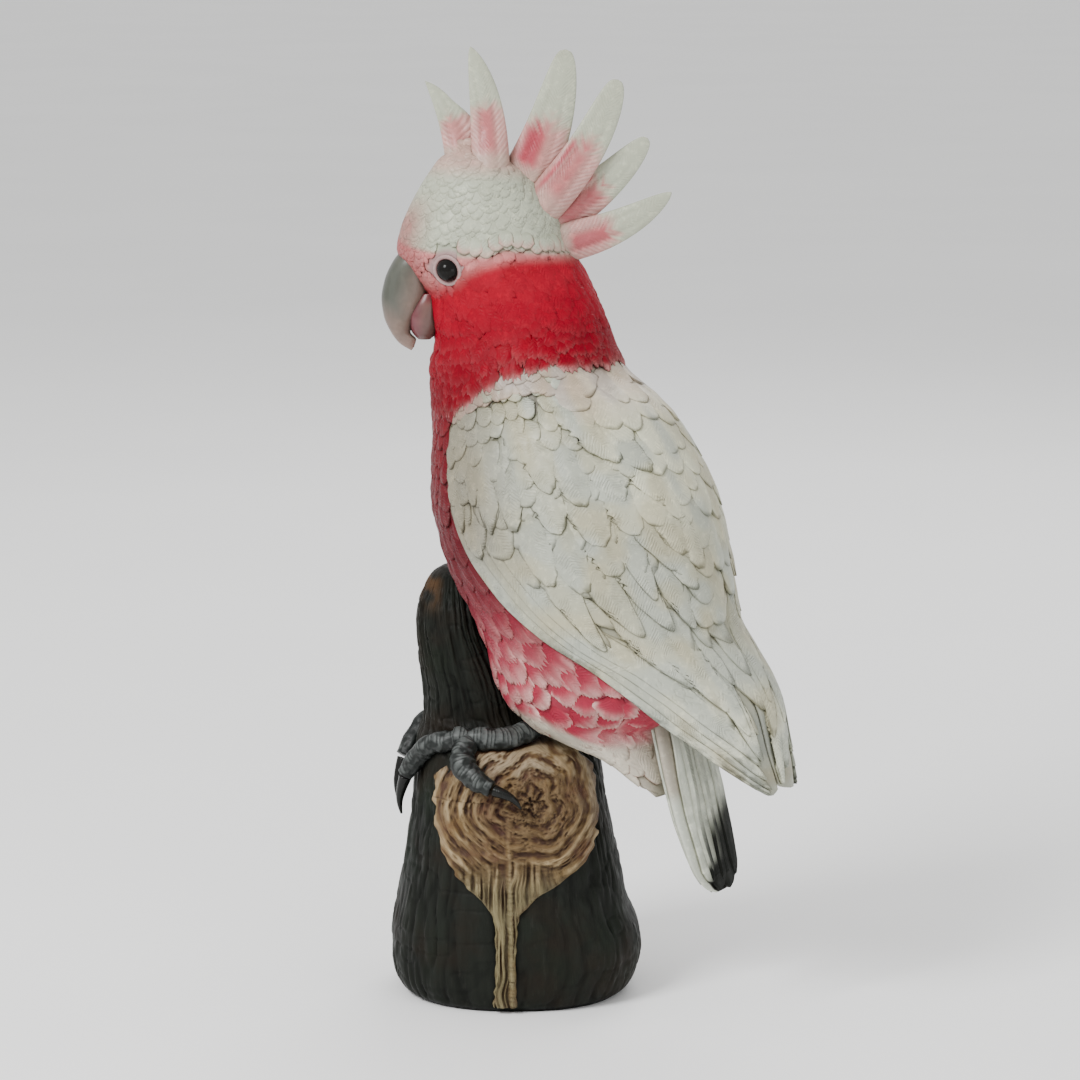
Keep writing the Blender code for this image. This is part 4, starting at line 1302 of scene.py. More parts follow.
def wing_paint(height, angle):
    """Warm greyish white with cooler and yellower clouds, paler on the back and low on the wing, and
    beiger at the lower edge."""
    around = side_angle(angle)
    on_back = smooth(125, 145, around) * smooth(200, 230, height)
    at_tip = smooth(112, 135, around) * smooth(152, 132, height)
    base = mix(paints().wing, LOW_WING, 0.8 * smooth(190, 110, height))
    base = base * ((1 + 0.40 * on_back) * (1 + 0.22 * at_tip))[..., None]
    cloud = hash_noise(height / 11, np.asarray(angle) / 9, SEED + 60)
    base = mix(base, COOL_CLOUD, 0.8 * smooth(0.5, 0.75, cloud))
    base = mix(base, YELLOW_CLOUD, 0.7 * smooth(0.45, 0.2, cloud))
    base = mix(base, WING_BEIGE, 0.85 * smooth(104, 66, around) * smooth(180, 212, height))
    return base, base * 1.15, 0.8


def between_ends(ends, share):
    """A value at a share of the way between two ends."""
    return ends[0] + (ends[1] - ends[0]) * share


def row_feathers(row, side, vane, rng):
    """Carves one row of wing feathers between its two ends: a quadratic arc through three heights."""
    share = (np.arange(row.count) + 0.5 + rng.uniform(-0.25, 0.25, row.count)) / row.count
    low, middle, high = row.heights
    bend = 2 * middle - (low + high) / 2
    height = low * (1 - share) ** 2 + 2 * bend * share * (1 - share) + high * share**2
    height = height + rng.uniform(-0.16, 0.16, row.count) * row.length[0]
    across = between_ends(row.spans, share)
    tips = stacked(height, wing_angle(side, height, across))
    edges = between_ends(row.spans, np.linspace(0, 1, row.count + 1))
    edge_height = np.interp(edges, across, height)
    edge_points = cloak_surface(edge_height, wing_angle(side, edge_height, edges))
    half_width = size_of(np.diff(edge_points, axis=0)) * row.overlap
    length, lean = between_ends(row.length, share), between_ends(row.lean, share)
    vane = vane._replace(tilt=vane.tilt * side)
    return painted_group(cloak_surface, tips, length, half_width, vane, rng, lean, wing_paint, line=0.6)


def primary_feathers(side, rng):
    """Long blades side by side along the wing's lower edge, each at its own distance from it."""
    offset, root, tip, half_width = np.array(PRIMARIES).T[..., None, None]

    def centre(u):
        """Down from root to tip, at the blade's own distance from the wing's lower edge."""
        height = root + (tip - root) * u
        width = np.abs(wing_angle(side, height, 1.0) - wing_angle(side, height, 0.0))
        return stacked(height, wing_angle(side, height, np.minimum(offset / width, 0.9)))

    def colours(height, angle):
        """The wing's paint with fainter edges."""
        base, edge, strength = wing_paint(height, angle)
        return base, edge, strength * 0.6

    vane = PRIMARY._replace(tilt=PRIMARY.tilt * side)
    half_width = half_width[:, 0, 0]
    return painted_feathers(cloak_surface, centre, half_width, vane, rng, colours, dark=0.1, line=0.8)


def build_wing(side):
    """A thin core along the wing's sections, rows of small coverts, large coverts and scapulars, and
    the flight feathers."""
    name = "wing_left" if side == 1 else "wing_right"
    rng = np.random.default_rng(SEED + 10 + side)
    white = painted_plumage("brushed_wing", WHITE_WASH, 0.9, hatch=0.3)
    heights = np.linspace(WING_BOTTOM, WING_TOP, 150)
    rings = np.stack([wing_ring(height, side) for height in heights])
    base, _, _ = wing_paint(np.broadcast_to(heights[:, None], rings.shape[:2]), 0)
    write_tube(f"{name}_core", rings, white, (name,), base * 0.7, 0)
    small = [row_feathers(row, side, SMALL_COVERT, rng) for row in LESSER_ROWS]
    small += [row_feathers(row, side, UNDER_COVERT, rng) for row in UNDER_ROWS]
    write_feathers(f"{name}_lesser_coverts", small, white)
    raised = COVERT._replace(proud=1.3, camber=1.2, droop=0.6)
    groups = ((COVERTS, COVERT), (SCAPULARS, raised), (OVAL_COVERTS, COVERT), (EDGE_COVERTS, COVERT))
    large = [placed_feathers(table, side, vane, rng, 0.95) for table, vane in groups]
    write_feathers(f"{name}_coverts", large, white, large=True)
    secondaries = SECONDARIES if side == 1 else RIGHT_INNER + SECONDARIES
    flight = [placed_feathers(secondaries, side, SECONDARY, rng), primary_feathers(side, rng)]
    write_feathers(f"{name}_flight_feathers", flight, white, large=True)


# ---- crest


def crest_line(blade, t):
    """A quadratic curve from root over bend to tip, as (x, z)."""
    root, bend, tip = (np.array(point) for point in (blade.root, blade.bend, blade.tip))
    t = np.asarray(t)[..., None]
    return root * (1 - t) ** 2 + 2 * bend * t * (1 - t) + tip * t**2


def crest_frame(blade, t):
    """The blade's middle line, the direction across it and its half width at t, in (x, z)."""
    ahead = unit(crest_line(blade, t + 0.01) - crest_line(blade, t - 0.01))
    sideways = stacked(ahead[..., 1], -ahead[..., 0])
    taper = np.maximum((1 - np.clip(t, 0, 1) ** 4) ** blade.bluntness, 0.05)
    half_width = between_ends((blade.root_width, blade.tip_width), t) / 2
    return crest_line(blade, t), sideways, half_width * taper


def crest_rings(blade, rows=120, around=64):
    """A blade with a lens section swept along its line, which swells at its root to run into the cap.
    Slanting grooves between the barbs are cut into the lower half of both faces, and two soft furrows
    run along it."""
    t = np.linspace(0, 1, rows)
    line, sideways, reach = crest_frame(blade, t)
    length = np.linalg.norm(crest_line(blade, 1.0) - crest_line(blade, 0.0))
    t, reach = t[:, None], reach[:, None]
    angle = whole_turn(around)[None, :]
    v = np.cos(angle)
    beside = np.abs(v)
    slant = t * length - 1.1 * beside * reach + 0.7 * np.sin(t * 19 + blade.side) * beside
    groove = wave(slant / CREST_BARB_PITCH) ** 2 * smooth(0.72, 0.45, t)
    furrow = np.exp(-(((beside - 0.42) * reach / 0.9) ** 2)) * smooth(0.95, 0.6, t)
    thick = CREST_THICKNESS / 2 * np.maximum((1 - t**4) ** 0.7, 0.3) * (1 - 0.12 * t)
    thick = thick + CREST_ROOT_SWELL * smooth(0.52, 0.0, t) ** 1.5
    carved = 0.5 * groove * smooth(0.05, 0.35, beside) * smooth(1.0, 0.75, beside) + 0.4 * furrow
    y = blade.side * CREST_STAGGER + signed_power(np.sin(angle), 0.8) * np.maximum(thick - carved, 0.2)
    web = blade.web * smooth(0.72, 0.36, t) * smooth(0, 1, v)
    in_plane = line[:, None, :] + sideways[:, None, :] * (reach * v + web)[..., None]
    rings = stacked(in_plane[..., 0], y, in_plane[..., 1])
    return rings, t, v, slant


def crest_paint(blade, number, t, v, slant):
    """Greenish white tips, a pink lower half, and a crimson patch between pale barbs that fades where
    the blade comes out of the cap."""
    spread = hash_noise(slant * 0.6, v * 2 + number * 5, SEED)
    pink = smooth(0.64, 0.46, t + 0.10 * (spread - 0.5) + 0.08 * v**2)
    crimson = np.exp(-(((v - blade.streak) / 0.46) ** 4))
    crimson = crimson * smooth(0.62, 0.48, t + 0.1 * spread) * smooth(0.05, 0.2, t)
    if blade.ridged:
        ridge = 1.3 * np.exp(-(((v + 0.72) / 0.15) ** 2)) * smooth(0.58, 0.45, t)
        crimson = np.maximum(crimson * (0.55 + 0.45 * np.abs(2 * spread - 1)), ridge)
    barbs = 1 - wave(slant / CREST_BARB_PITCH)
    colour = mix(paints().crown, paints().blush, 0.8 * pink)
    colour = mix(colour, CREST_BARBS, 0.6 * pink * barbs * smooth(0.3, 0.6, np.abs(v)))
    colour = mix(colour, CREST_CRIMSON, np.clip(0.92 * crimson * blade.patch, 0, 0.95))
    faded = smooth(blade.leaves + 0.07, blade.leaves - 0.02, t + 0.03 * (spread - 0.5))
    cap = mix(paints().crown, paints().blush, 0.35)
    return mix(colour, cap, (0.4 if blade.ridged else 0.75) * faded)


def build_crest():
    """Six blades, whose roots lie in the cap."""
    material = painted_plumage("brushed_crest", CREST_WASH, 0.4)
    for number, blade in enumerate(CREST_BLADES, 1):
        rings, t, v, slant = crest_rings(blade)
        paint = crest_paint(blade, number, t, v, slant)
        replaced = (f"crest_feather_{number}",)
        name = f"crest_blade_{number}"
        write_tube(name, rings, material, replaced, paint, stacked(slant, 0, number))


# ---- bill and eyes


def horn_material(name, stripe):
    """Polished horn-coloured paint with fine streaks along it and soft clouds."""
    material = new_material(name, 0.3, 0.1, 0.3)
    n = Nodes(material)
    streaks = n.noise(1, 4, vector=n.stretched(stripe))
    clouds = n.noise(60, 3)
    colour = n.tint(n.attribute("paint"), (0.72, 0.70, 0.66), n.ramp(streaks, 0.4, 0.7, 0, 0.5))
    colour = n.tint(colour, (1.5, 1.42, 1.35), n.ramp(clouds, 0.5, 0.75))
    colour = n.tint(colour, (0.35, 0.30, 0.26), n.math("MULTIPLY", n.crevice(2 * MM), 0.8))
    n.finish(colour, n.bump(streaks, 0.25, 0.2 * MM))
    return material


def build_bill():
    """Two horns of rounded sections, which the tables place: the upper one's run across its curve from
    the outer to the inner edge, and the lower one's are level."""
    horn = horn_material("horn_paint", (260, 500, 90))
    angle = whole_turn(64)[None, :]
    t = np.linspace(0, len(UPPER_BILL) - 1, 90)[:, None]
    outer_x, outer_z, inner_x, inner_z, half_width = columns_at(numbered(UPPER_BILL), t)
    inner_x = inner_x + BILL_FLARE * smooth(0.2, 1.8, t) * smooth(5.2, 3.2, t)
    x = (outer_x + inner_x) / 2 + (outer_x - inner_x) / 2 * np.cos(angle)
    z = (outer_z + inner_z) / 2 + (outer_z - inner_z) / 2 * np.cos(angle)
    rings = stacked(x, half_width * signed_power(np.sin(angle), 0.86), z)
    warm = np.maximum(smooth(0.55, -0.7, np.cos(angle)), smooth(2.6, 4.6, t))
    colour = mix(paints().horn, WARM_HORN, warm)
    colour = mix(colour, paints().horn_tip, 0.5 * smooth(4.6, 6.6, t))
    write_tube("upper_bill_horn", rings, horn, ("upper_bill",), colour)
    t = np.linspace(0, len(LOWER_BILL) - 1, 50)[:, None]
    height, front, back, half_width = columns_at(numbered(LOWER_BILL), t)
    x = (front + back) / 2 - (back - front) / 2 * np.cos(angle)
    rings = stacked(x, -half_width * np.sin(angle), height)
    colour = mix(LOWER_HORN, LOWER_HORN_FRONT, smooth(-38, -44, x))
    colour = mix(colour, LOWER_HORN_ROOT, smooth(1.2, 0, t))
    write_tube("lower_bill_horn", rings, horn, ("lower_bill",), colour)


def numbered(table):
    """A table of sections with their numbers as its first column."""
    return np.column_stack([np.arange(len(table)), table])


def build_eyes():
    """A glossy black ball in a ring of puckered skin, which lies square to the head's surface."""
    black = new_material("eye_gloss", 0.14, 0.0, 0.1)
    n = Nodes(black)
    n.finish(n.blend((0.004, 0.004, 0.004), (0.009, 0.008, 0.007), n.noise(300, 2)))
    skin = painted_plumage("brushed_eye_skin", EYE_WASH, 0.0)
    lid_paint = np.array(paints().eye_skin) * 1.1
    latitude = np.linspace(-np.pi / 2 + 0.05, np.pi / 2 - 0.05, 40)[:, None]
    longitude = whole_turn(48)[None, :]
    level = np.cos(latitude)
    ball = stacked(level * np.cos(longitude), level * np.sin(longitude), np.sin(latitude))
    turn, tube = whole_turn(96)[:, None], whole_turn(20)[None, :]
    pucker = 1 + 0.05 * np.sin(turn * 23 + 1) + 0.04 * np.sin(turn * 37)
    radius, half_width, stand, bulge = EYE_LID
    ring = radius + half_width * np.cos(tube) * pucker
    rise = stand + bulge * np.sin(tube) * pucker
    for name, side in (("eye_left", -1), ("eye_right", 1)):
        centre = np.array(EYE_CENTRE) * [1, side, 1]
        write_tube(f"{name}_ball", centre + EYE_RADIUS * ball, black, (name,), 0)
        bearing = EYE_BEARING if side == -1 else 360 - EYE_BEARING
        _, outward, _, _ = surface_basis(body_surface, np.array(EYE_CENTRE[2]), np.array(bearing))
        upward = unit(np.array([0.0, 0.0, 1.0]) - outward * outward[2])
        forward = np.cross(upward, outward)
        in_plane = np.cos(turn)[..., None] * forward + np.sin(turn)[..., None] * upward
        points = centre + ring[..., None] * in_plane + rise[..., None] * outward
        write_ring(f"{name}_lid", points, skin, lid_paint, mirrored=side == 1)


def write_ring(name, points, material, colour, mirrored):
    """A closed ring that wraps both ways, with its faces turned round where it is mirrored."""
    rows, columns = points.shape[:2]
    row, column = np.arange(rows)[:, None], np.arange(columns)[None, :]
    next_row, next_column = (row + 1) % rows * columns, (column + 1) % columns
    at = row * columns
    corners = [at + column, next_row + column, next_row + next_column, at + next_column]
    faces = stacked(*(corners[::-1] if mirrored else corners)).reshape(-1, 4)
    attributes = [("paint", np.broadcast_to(colour, points.shape)), ("vane", np.zeros(points.shape))]
    uv = stacked(row / rows, column / columns).reshape(-1, 2)
    write_piece(name, points, [faces], material, (), attributes, uv[faces.ravel()])


# ---- tail


def tail_point(height, angle, inset):
    """A point on the tail's section: a flat rounded plate that leans back as it falls."""
    front, back, half_width = columns_at(TAIL, height)
    angle = np.radians(angle)
    along = (front + back) / 2 - ((back - front) / 2 - inset) * np.cos(angle)
    across = -(half_width - inset) * signed_power(np.sin(angle), TAIL_ROUNDNESS)
    return turned(along, across, height, TRUNK_YAW)


def tail_paint(height, across):
    """Pale greenish grey that turns black towards the ends, and sooner on the right than on the left."""
    start = 98 - 10 * smooth(-12, 10, across) - 34 * smooth(9.5, 15.5, across)
    ragged = 6 * (hash_noise(height / 9, across / 1.2, SEED + 61) - 0.5)
    # Painted light: the tail paint is lighter than the tail's own grey, to make up for the shade on its
    # down-turned faces.
    return mix(paints().tail, paints().tail_end, smooth(0, 14, start - height + ragged))


def tail_face(face):
    """The tail's back (1) or front (-1) face as a surface of height and distance across."""

    def surface(height, across):
        """The plate's middle, and half its thickness under a flattened arch across it."""
        front, back, half_width = columns_at(TAIL, height)
        bulge = np.sqrt(np.clip(1 - np.abs(np.clip(across / half_width, -1, 1)) ** 3, 0, 1))
        along = (front + back) / 2 + face * (back - front) / 2 * bulge
        return turned(along, -face * across, height, TRUNK_YAW)

    return surface


TAIL_BLADE = Vane(
    along=60, across=13, sunk=-0.5, proud=0.2, floor=-1.4, camber=0.3, point=0.08, shaft=0.25,
    barbs=0.12, taper=0.2, waist=0.9, fray=0.01, barb_pitch=3.4,
)


def undertail_coverts(rng):
    """Whitish coverts that lie over the roots of the tail's front face."""
    place, tips = np.array(UNDERTAIL_COVERTS, float).T[..., None, None]
    vent = np.array(paints().vent)

    def centre(u):
        """Down to the tip, spreading a little."""
        return stacked(130 + (tips - 130) * u, place * (0.8 + 0.2 * u))

    def colours(height, across):
        """The same off-white everywhere."""
        return vent, vent * 1.15, 0.5

    vane = TAIL_BLADE._replace(along=24, sunk=0.1, proud=1.0, camber=0.7, point=0.3, droop=0.5, shaft=0.1)
    half_width = np.full(len(place), 5.4)
    return painted_feathers(tail_face(-1), centre, half_width, vane, rng, colours, dark=0.2, line=0.4)


def tail_blades(face, rng):
    """Four long blades on one face, which spread from the root and close again at the tip."""
    place, tips, half_width = np.array(TAIL_BLADES).T[..., None, None]

    def centre(u):
        """Down to the tip, spreading at first and then drawn in."""
        spread = 0.85 + 0.15 * smooth(0, 0.6, u) - 0.22 * u**4
        return stacked(131 + (tips - 131) * u, place * spread)

    def colours(height, across):
        """The tail's paint, with left and right as they are on this face."""
        colour = tail_paint(height, face * across)
        return colour, colour * 1.15, 0.5

    vane = TAIL_BLADE._replace(tilt=np.where(place < 0, 0.35, -0.35))
    half_width = half_width[:, 0, 0]
    return painted_feathers(tail_face(face), centre, half_width, vane, rng, colours, dark=0.0, line=0.4)


def build_tail():
    """A plate with long blades on both faces and whitish coverts over their roots in front."""
    rng = np.random.default_rng(SEED + 20)
    material = painted_plumage("brushed_tail", CROWN_WASH, 0.5, roughness=0.6, coat=0.0, shine=0.06)
    heights = np.linspace(TAIL[0][0], TAIL[-1][0], 120)
    angles = -np.linspace(0, 360, 80, endpoint=False)
    height, angle = np.meshgrid(heights, angles, indexing="ij")
    beside = 19 * signed_power(np.sin(np.radians(angle)), TAIL_ROUNDNESS)
    core = mix(tail_paint(height, beside), paints().vent, smooth(94, 102, height))
    rings = tail_point(height, angle, 0.6)
    write_tube("tail_core", rings, material, ("tail",), core * 0.85, 0)
    groups = [undertail_coverts(rng), tail_blades(1, rng), tail_blades(-1, rng)]
    write_feathers("tail_feathers", groups, material, large=True)


# ---- feet


def limb_points(path, t):
    """A path of four points as a quadratic spline: two curves that meet half-way between its inner
    points. t runs from 0 to 1; the last column is the radius."""
    a, b, c, d = np.array(path, float)
    middle = (b + c) / 2
    t = np.asarray(t)[..., None] * 2
    first, second = np.clip(t, 0, 1), np.clip(t - 1, 0, 1)
    start = a * (1 - first) ** 2 + 2 * b * first * (1 - first) + middle * first**2
    end = middle * (1 - second) ** 2 + 2 * c * second * (1 - second) + d * second**2
    return np.where(t < 1, start, end)


def limb_rings(path, rows, around, scutes=0.0, band=0.45):
    """Rings square to the path. With scutes, low overlapping plates cross the side that faces away from
    the stump in a band (narrower the nearer it is to 1), and pebbles and folds cover the rest, with a
    knuckle every few millimetres. Returns the rings and how far each point stands out."""
    line = limb_points(path, np.linspace(0, 1, rows))
    centre, radius = line[:, :3], line[:, 3]
    ahead = unit(np.gradient(centre, axis=0))
    outward = centre * [1, 1, 0] + [0, 0, 25.0]
    outward = unit(outward - ahead * (outward * ahead).sum(-1, keepdims=True))
    aside = np.cross(ahead, outward)
    angle = whole_turn(around)[None, :]
    reach = travelled(centre)[:, None]
    top = smooth(band, band + 0.35, np.cos(angle + 0.4 * np.sin(reach * 0.7)))
    phase = (reach / SCUTE_PITCH + 0.12 * np.cos(angle * 3) + 0.25 * np.sin(reach * 1.1)) % 1
    plate = smooth(0.0, 0.3, phase) * (1 - 0.35 * phase) * top
    pebble = smooth(0.3, 0.7, hash_noise(angle * 10 / np.pi + 10, reach / 1.7, SEED + 51)) * (1 - top)
    folds = hash_noise(angle * 6 / np.pi + 30, reach / 6, SEED + 52)
    joint = (0.10 * np.sin(reach * 0.31 + 0.9) ** 2 + 0.12 * folds - 0.1) * bool(scutes)
    size = radius[:, None] * (1 + joint + scutes * (0.7 * plate + 0.8 * pebble - 0.6))
    around_path = np.cos(angle)[..., None] * outward[:, None] + np.sin(angle)[..., None] * aside[:, None]
    return centre[:, None] + size[..., None] * around_path, plate + 0.6 * pebble


def to_far_side(path):
    """The same path on the right foot."""
    return tuple((x + FAR_FOOT_SHIFT_X, FAR_FOOT_MIRROR_Y - y, z, radius) for x, y, z, radius in path)


def foot_material(name, roughness):
    """Dark paint with a pale brush caught on the raised plates, and fine leathery bumps."""
    material = new_material(name, roughness, 0.0, 0.2)
    n = Nodes(material)
    grain = n.noise(700, 4)
    colour = n.tint(n.attribute("paint"), (0.55, 0.55, 0.55), n.ramp(grain, 0.4, 0.7, 0, 0.7))
    colour = n.tint(colour, (0.25, 0.25, 0.25), n.crevice(1.5 * MM))
    n.finish(colour, n.bump(grain, 0.5, 0.3 * MM))
    return material


def build_feet():
    """A shank, two toes and two claws on each side, as tubes along their paths."""
    foot = foot_material("foot_paint", 0.42)
    claw_paint = foot_material("claw_paint", 0.25)
    # name, path, rows of the mesh, how high the scutes are, and their band
    limbs = (
        ("shank", SHANK, 120, 0.06, 0.45),
        ("outer_toe", OUTER_TOE, 110, 0.09, 0.7),
        ("inner_toe", INNER_TOE, 90, 0.09, 0.7),
    )
    for side, placed in (("left", tuple), ("right", to_far_side)):
        leg = f"leg_{side}"
        for part, path, rows, scutes, band in limbs:
            rings, plate = limb_rings(placed(path), rows, 44, scutes, band)
            colour = mix(paints().foot, paints().foot_scale, 0.75 * smooth(0.45, 0.95, plate))
            replaced = (leg,) if part == "shank" else ()
            write_tube(f"{leg}_{part}", rings, foot, replaced, colour)
        for part, path in (("outer", OUTER_CLAW), ("inner", INNER_CLAW)):
            rings, _ = limb_rings(placed(path), 40, 24)
            claw = f"claw_{part}_{side}"
            write_tube(f"{claw}_horn", rings, claw_paint, (claw,), paints().claw)


# ---- stump


def stump_front(x, height):
    """The depth of the stump's front at a place on it: half of a squared-off oval."""
    left, right, front, back, _ = columns_at(STUMP, height)
    side = np.clip(np.abs(x - (left + right) / 2) / ((right - left) / 2), 0, 1)
    depth = (1 - side**STUMP_SQUARENESS) ** (1 / STUMP_SQUARENESS)
    return (front + back) / 2 - (back - front) / 2 * depth


def bark_height(turn, height):
    """The bark's relief from 0 in a groove to 1 on a ridge: long upright ridges that wander, broken
    across here and there, over a finer grain."""
    cell = turn * NOISE_CELLS
    wander = 1.6 * hash_noise(cell / 9, height / 28, SEED + 31)
    wander = wander + 0.5 * hash_noise(cell / 3, height / 9, SEED + 32)
    ridges = folded_noise(cell + wander, height / 34, SEED + 33)
    fine = folded_noise(cell * 3 + wander * 2, height / 12, SEED + 34)
    cracks = smooth(0.05, 0.25, folded_noise(cell / 2, height / 7, SEED + 35))
    return 0.55 * smooth(0.0, 0.5, ridges) + 0.25 * smooth(0, 0.6, fine) + 0.2 * cracks


def build_stump():
    """Squared-off oval sections, drawn in by the bark's grooves and tipped to the right."""
    black = np.array(paints().bark)
    top = STUMP[-1][0]
    height, turn = np.meshgrid(np.linspace(0, top, 300), np.arange(320) / 320, indexing="ij")
    left, right, front, back, fall = columns_at(STUMP, height)
    angle = turn * 2 * np.pi
    side = signed_power(np.cos(angle), 2 / STUMP_SQUARENESS)
    depth = signed_power(np.sin(angle), 2 / STUMP_SQUARENESS)
    bark = bark_height(turn, height)
    inset = relief("bark_depth") * (1 - bark) * smooth(0, 6, height) * smooth(top, top - 10.5, height)
    x = (left + right) / 2 + ((right - left) / 2 - inset) * side
    y = (front + back) / 2 + ((back - front) / 2 - inset) * depth
    rings = stacked(x, y, height - fall * side)
    patch = smooth(165, 182, height) * smooth(-30, -36, x)
    patch = patch * smooth(0.35, 0.7, hash_noise(x / 3, height / 5, 7))
    colour = mix(mix(black * 0.5, black * 1.5, bark), BARK_BROWN, 0.8 * patch)
    vane = stacked(height, 0, 0)
    write_tube("bark", rings, bark_material(), ("stump",), colour, vane)


def bark_material():
    """Near-black paint with a dull sheen, greenish and brownish clouds and grey dust on the ridges."""
    material = new_material("bark_paint", 0.6, 0.0, 0.08)
    n = Nodes(material)
    grain = n.noise(1, 5, vector=n.stretched((420, 420, 60)))
    brown, green, dust = (0.013, 0.0085, 0.0055), (0.008, 0.012, 0.0075), (0.022, 0.022, 0.018)
    colour = n.blend(n.attribute("paint"), brown, n.ramp(n.noise(28, 3), 0.45, 0.7, 0, 0.7))
    colour = n.blend(colour, green, n.ramp(n.noise(21, 3), 0.5, 0.7, 0, 0.6))
    colour = n.blend(colour, dust, n.ramp(grain, 0.58, 0.75, 0, 0.5))
    colour = n.tint(colour, (0.3, 0.3, 0.3), n.crevice(2.5 * MM))
    normal = n.bump(grain, 0.7, 0.5 * MM)
    n.finish(colour, normal, n.ramp(grain, 0.3, 0.7, 0.6, 0.42))
    return material


def wood_grain(x, height):
    """The fibres run in arcs round the heart of the growth rings, and straight up down the stem. Gives
    the distance from the heart, the angle round it, the distance across the stem's fibres, and how
    much of a place belongs to the stem."""
    away_x, away_z = x - RING_CENTRE[0], height - RING_CENTRE[1]
    turn = np.arctan2(away_z, away_x)
    away = np.hypot(away_x * 0.95, away_z) + 1.3 * np.sin(turn * 3 + 0.7) + 0.7 * np.sin(turn * 7)
    upright = smooth(72, 61, height + 0.25 * np.abs(x - 1))
    drift = 2.0 * hash_noise(height / 9, x / 9, SEED + 47)
    return away, turn, x + drift, upright


def wood_relief(x, height, grain):
    """The chisel marks of the cut wood, 0 in a groove and 1 on a ridge: short strokes laid along the
    fibres, deeper every few millimetres, with a raised rib up the middle."""
    away, turn, beside, upright = grain
    broad = wave(away / 6.1 + 0.12)
    strokes = hash_noise(away / 1.25, turn * 3.6 + 20, SEED + 41)
    fine = hash_noise(away / 0.65, turn * 12 + 40, SEED + 46)
    rings = 0.32 * broad + 0.38 * strokes + 0.30 * fine
    splinters = 0.45 * hash_noise(beside / 2.2, height / 30, SEED + 42)
    splinters = splinters + 0.55 * hash_noise(beside / 0.8, height / 13, SEED + 48)
    strokes = smooth(0.12, 0.88, between_ends((rings, splinters), upright))
    rib = np.exp(-(((x + 2.2 + 0.02 * (height - 70)) / 1.7) ** 2)) * smooth(92, 84, height)
    return np.maximum(strokes, rib * (0.6 + 0.4 * fine))


def wood_paint(x, z, carved, rough):
    """Brown with dark grooves, maroon left of the heart, cream on the ridges away from it, and paler
    wood on the stem and on the ledge."""
    out = np.hypot(x - RING_CENTRE[0], z - RING_CENTRE[1])
    colour = mix(paints().wood_dark, paints().wood, smooth(0.05, 0.45, carved + 0.25 * (rough - 0.5)))
    maroon = smooth(6, -12, x) * smooth(24, 16, out) * (1 - carved)
    colour = mix(colour, WOOD_MAROON, 0.85 * maroon)
    patch = hash_noise(x / 7 + 5, z / 8, SEED + 49)
    cream = smooth(0.5, 0.95, carved) * (0.04 + 0.2 * patch + 0.8 * smooth(20, 28, out))
    colour = mix(colour, paints().wood_light, np.clip(cream * (0.4 + 0.8 * rough), 0, 0.9))
    colour = mix(colour, np.array(STEM_WOOD) * (0.66 + 0.6 * carved[..., None]), 0.9 * smooth(68, 50, z))
    return mix(colour, LEDGE_WOOD, 0.6 * smooth(103, 110, z + 5 * rough) * smooth(0.3, 0.6, carved))


def build_cut_wood():
    """A slab with jagged sides that follows the front of the stump, from its foot up over the ledge
    under the belly, and stands out from it by its carved relief."""
    table = CUT_WOOD + WOOD_LEDGE
    foot, top = table[0][0], table[-1][0]
    z, share = np.meshgrid(np.linspace(foot, top, 280), np.linspace(0, 1, 150), indexing="ij")
    left, right = columns_at(table, z)
    jag = 2.4 * (0.35 + 0.65 * smooth(40, 60, z))
    left = left - jag * (hash_noise(z / 2.6, 0 * z, SEED + 43) - 0.45)
    right = right + jag * (hash_noise(z / 2.6, 0 * z + 9, SEED + 44) - 0.45)
    x = between_ends((left, right), share)
    grain = wood_grain(x, z)
    carved = wood_relief(x, z, grain)
    rough = hash_noise(x / 1.1, z / 2.2, SEED + 45)
    rise = CUT_WOOD_RELIEF + 0.3 - relief("ring_depth") * (1 - carved) * 1.3 - 0.3 * rough
    rim = smooth(0, 0.06, share) * smooth(1, 0.94, share) * smooth(top, top - 3, z)
    outer = stacked(x, stump_front(x, z) - rise * (0.2 + 0.8 * rim), z)
    inner = stacked(x, stump_front(x, z) + 1.5, z)
    colour = wood_paint(x, z, carved, rough)
    away, turn, beside, upright = grain
    across, along = between_ends((away, beside), upright), between_ends((turn * 12, z), upright)
    fibres = stacked(across, along, upright * 9)
    shell, colour, fibres = (
        np.concatenate([front, back[:, ::-1]], axis=1)
        for front, back in ((outer, inner), (colour, colour), (fibres, fibres))
    )
    material = wood_material()
    write_tube("cut_wood_face", shell, material, ("cut_wood",), colour, fibres)


def wood_material():
    """Stained wood paint: golden and brown patches, short dark and pale strokes along the fibres, a dark
    stain in the grooves and cream on the edges."""
    material = new_material("cut_wood_paint", 0.5, 0.0, 0.18)
    n = Nodes(material)
    fibres = n.stretched((2.2, 0.20, 1), n.attribute("vane", "Vector"))
    strokes = n.noise(1, 4, 0.65, fibres)
    flecks = n.noise(2.6, 3, 0.6, fibres)
    brown, gold, cream = (0.085, 0.030, 0.020), (0.20, 0.125, 0.045), (0.30, 0.21, 0.11)
    colour = n.blend(n.attribute("paint"), brown, n.ramp(n.noise(70, 3), 0.5, 0.72, 0, 0.5))
    colour = n.blend(colour, gold, n.ramp(n.noise(45, 3), 0.5, 0.72, 0, 0.55))
    colour = n.tint(colour, (0.55, 0.46, 0.39), n.ramp(strokes, 0.50, 0.34, 0, 0.75))
    colour = n.blend(colour, cream, n.ramp(flecks, 0.6, 0.78, 0, 0.3))
    colour = n.tint(colour, (0.22, 0.13, 0.10), n.crevice(2 * MM))
    normal = n.bump(strokes, 0.9, 0.6 * MM)
    n.finish(colour, n.bump(flecks, 0.6, 0.3 * MM, normal))
    return material


# ---- stage


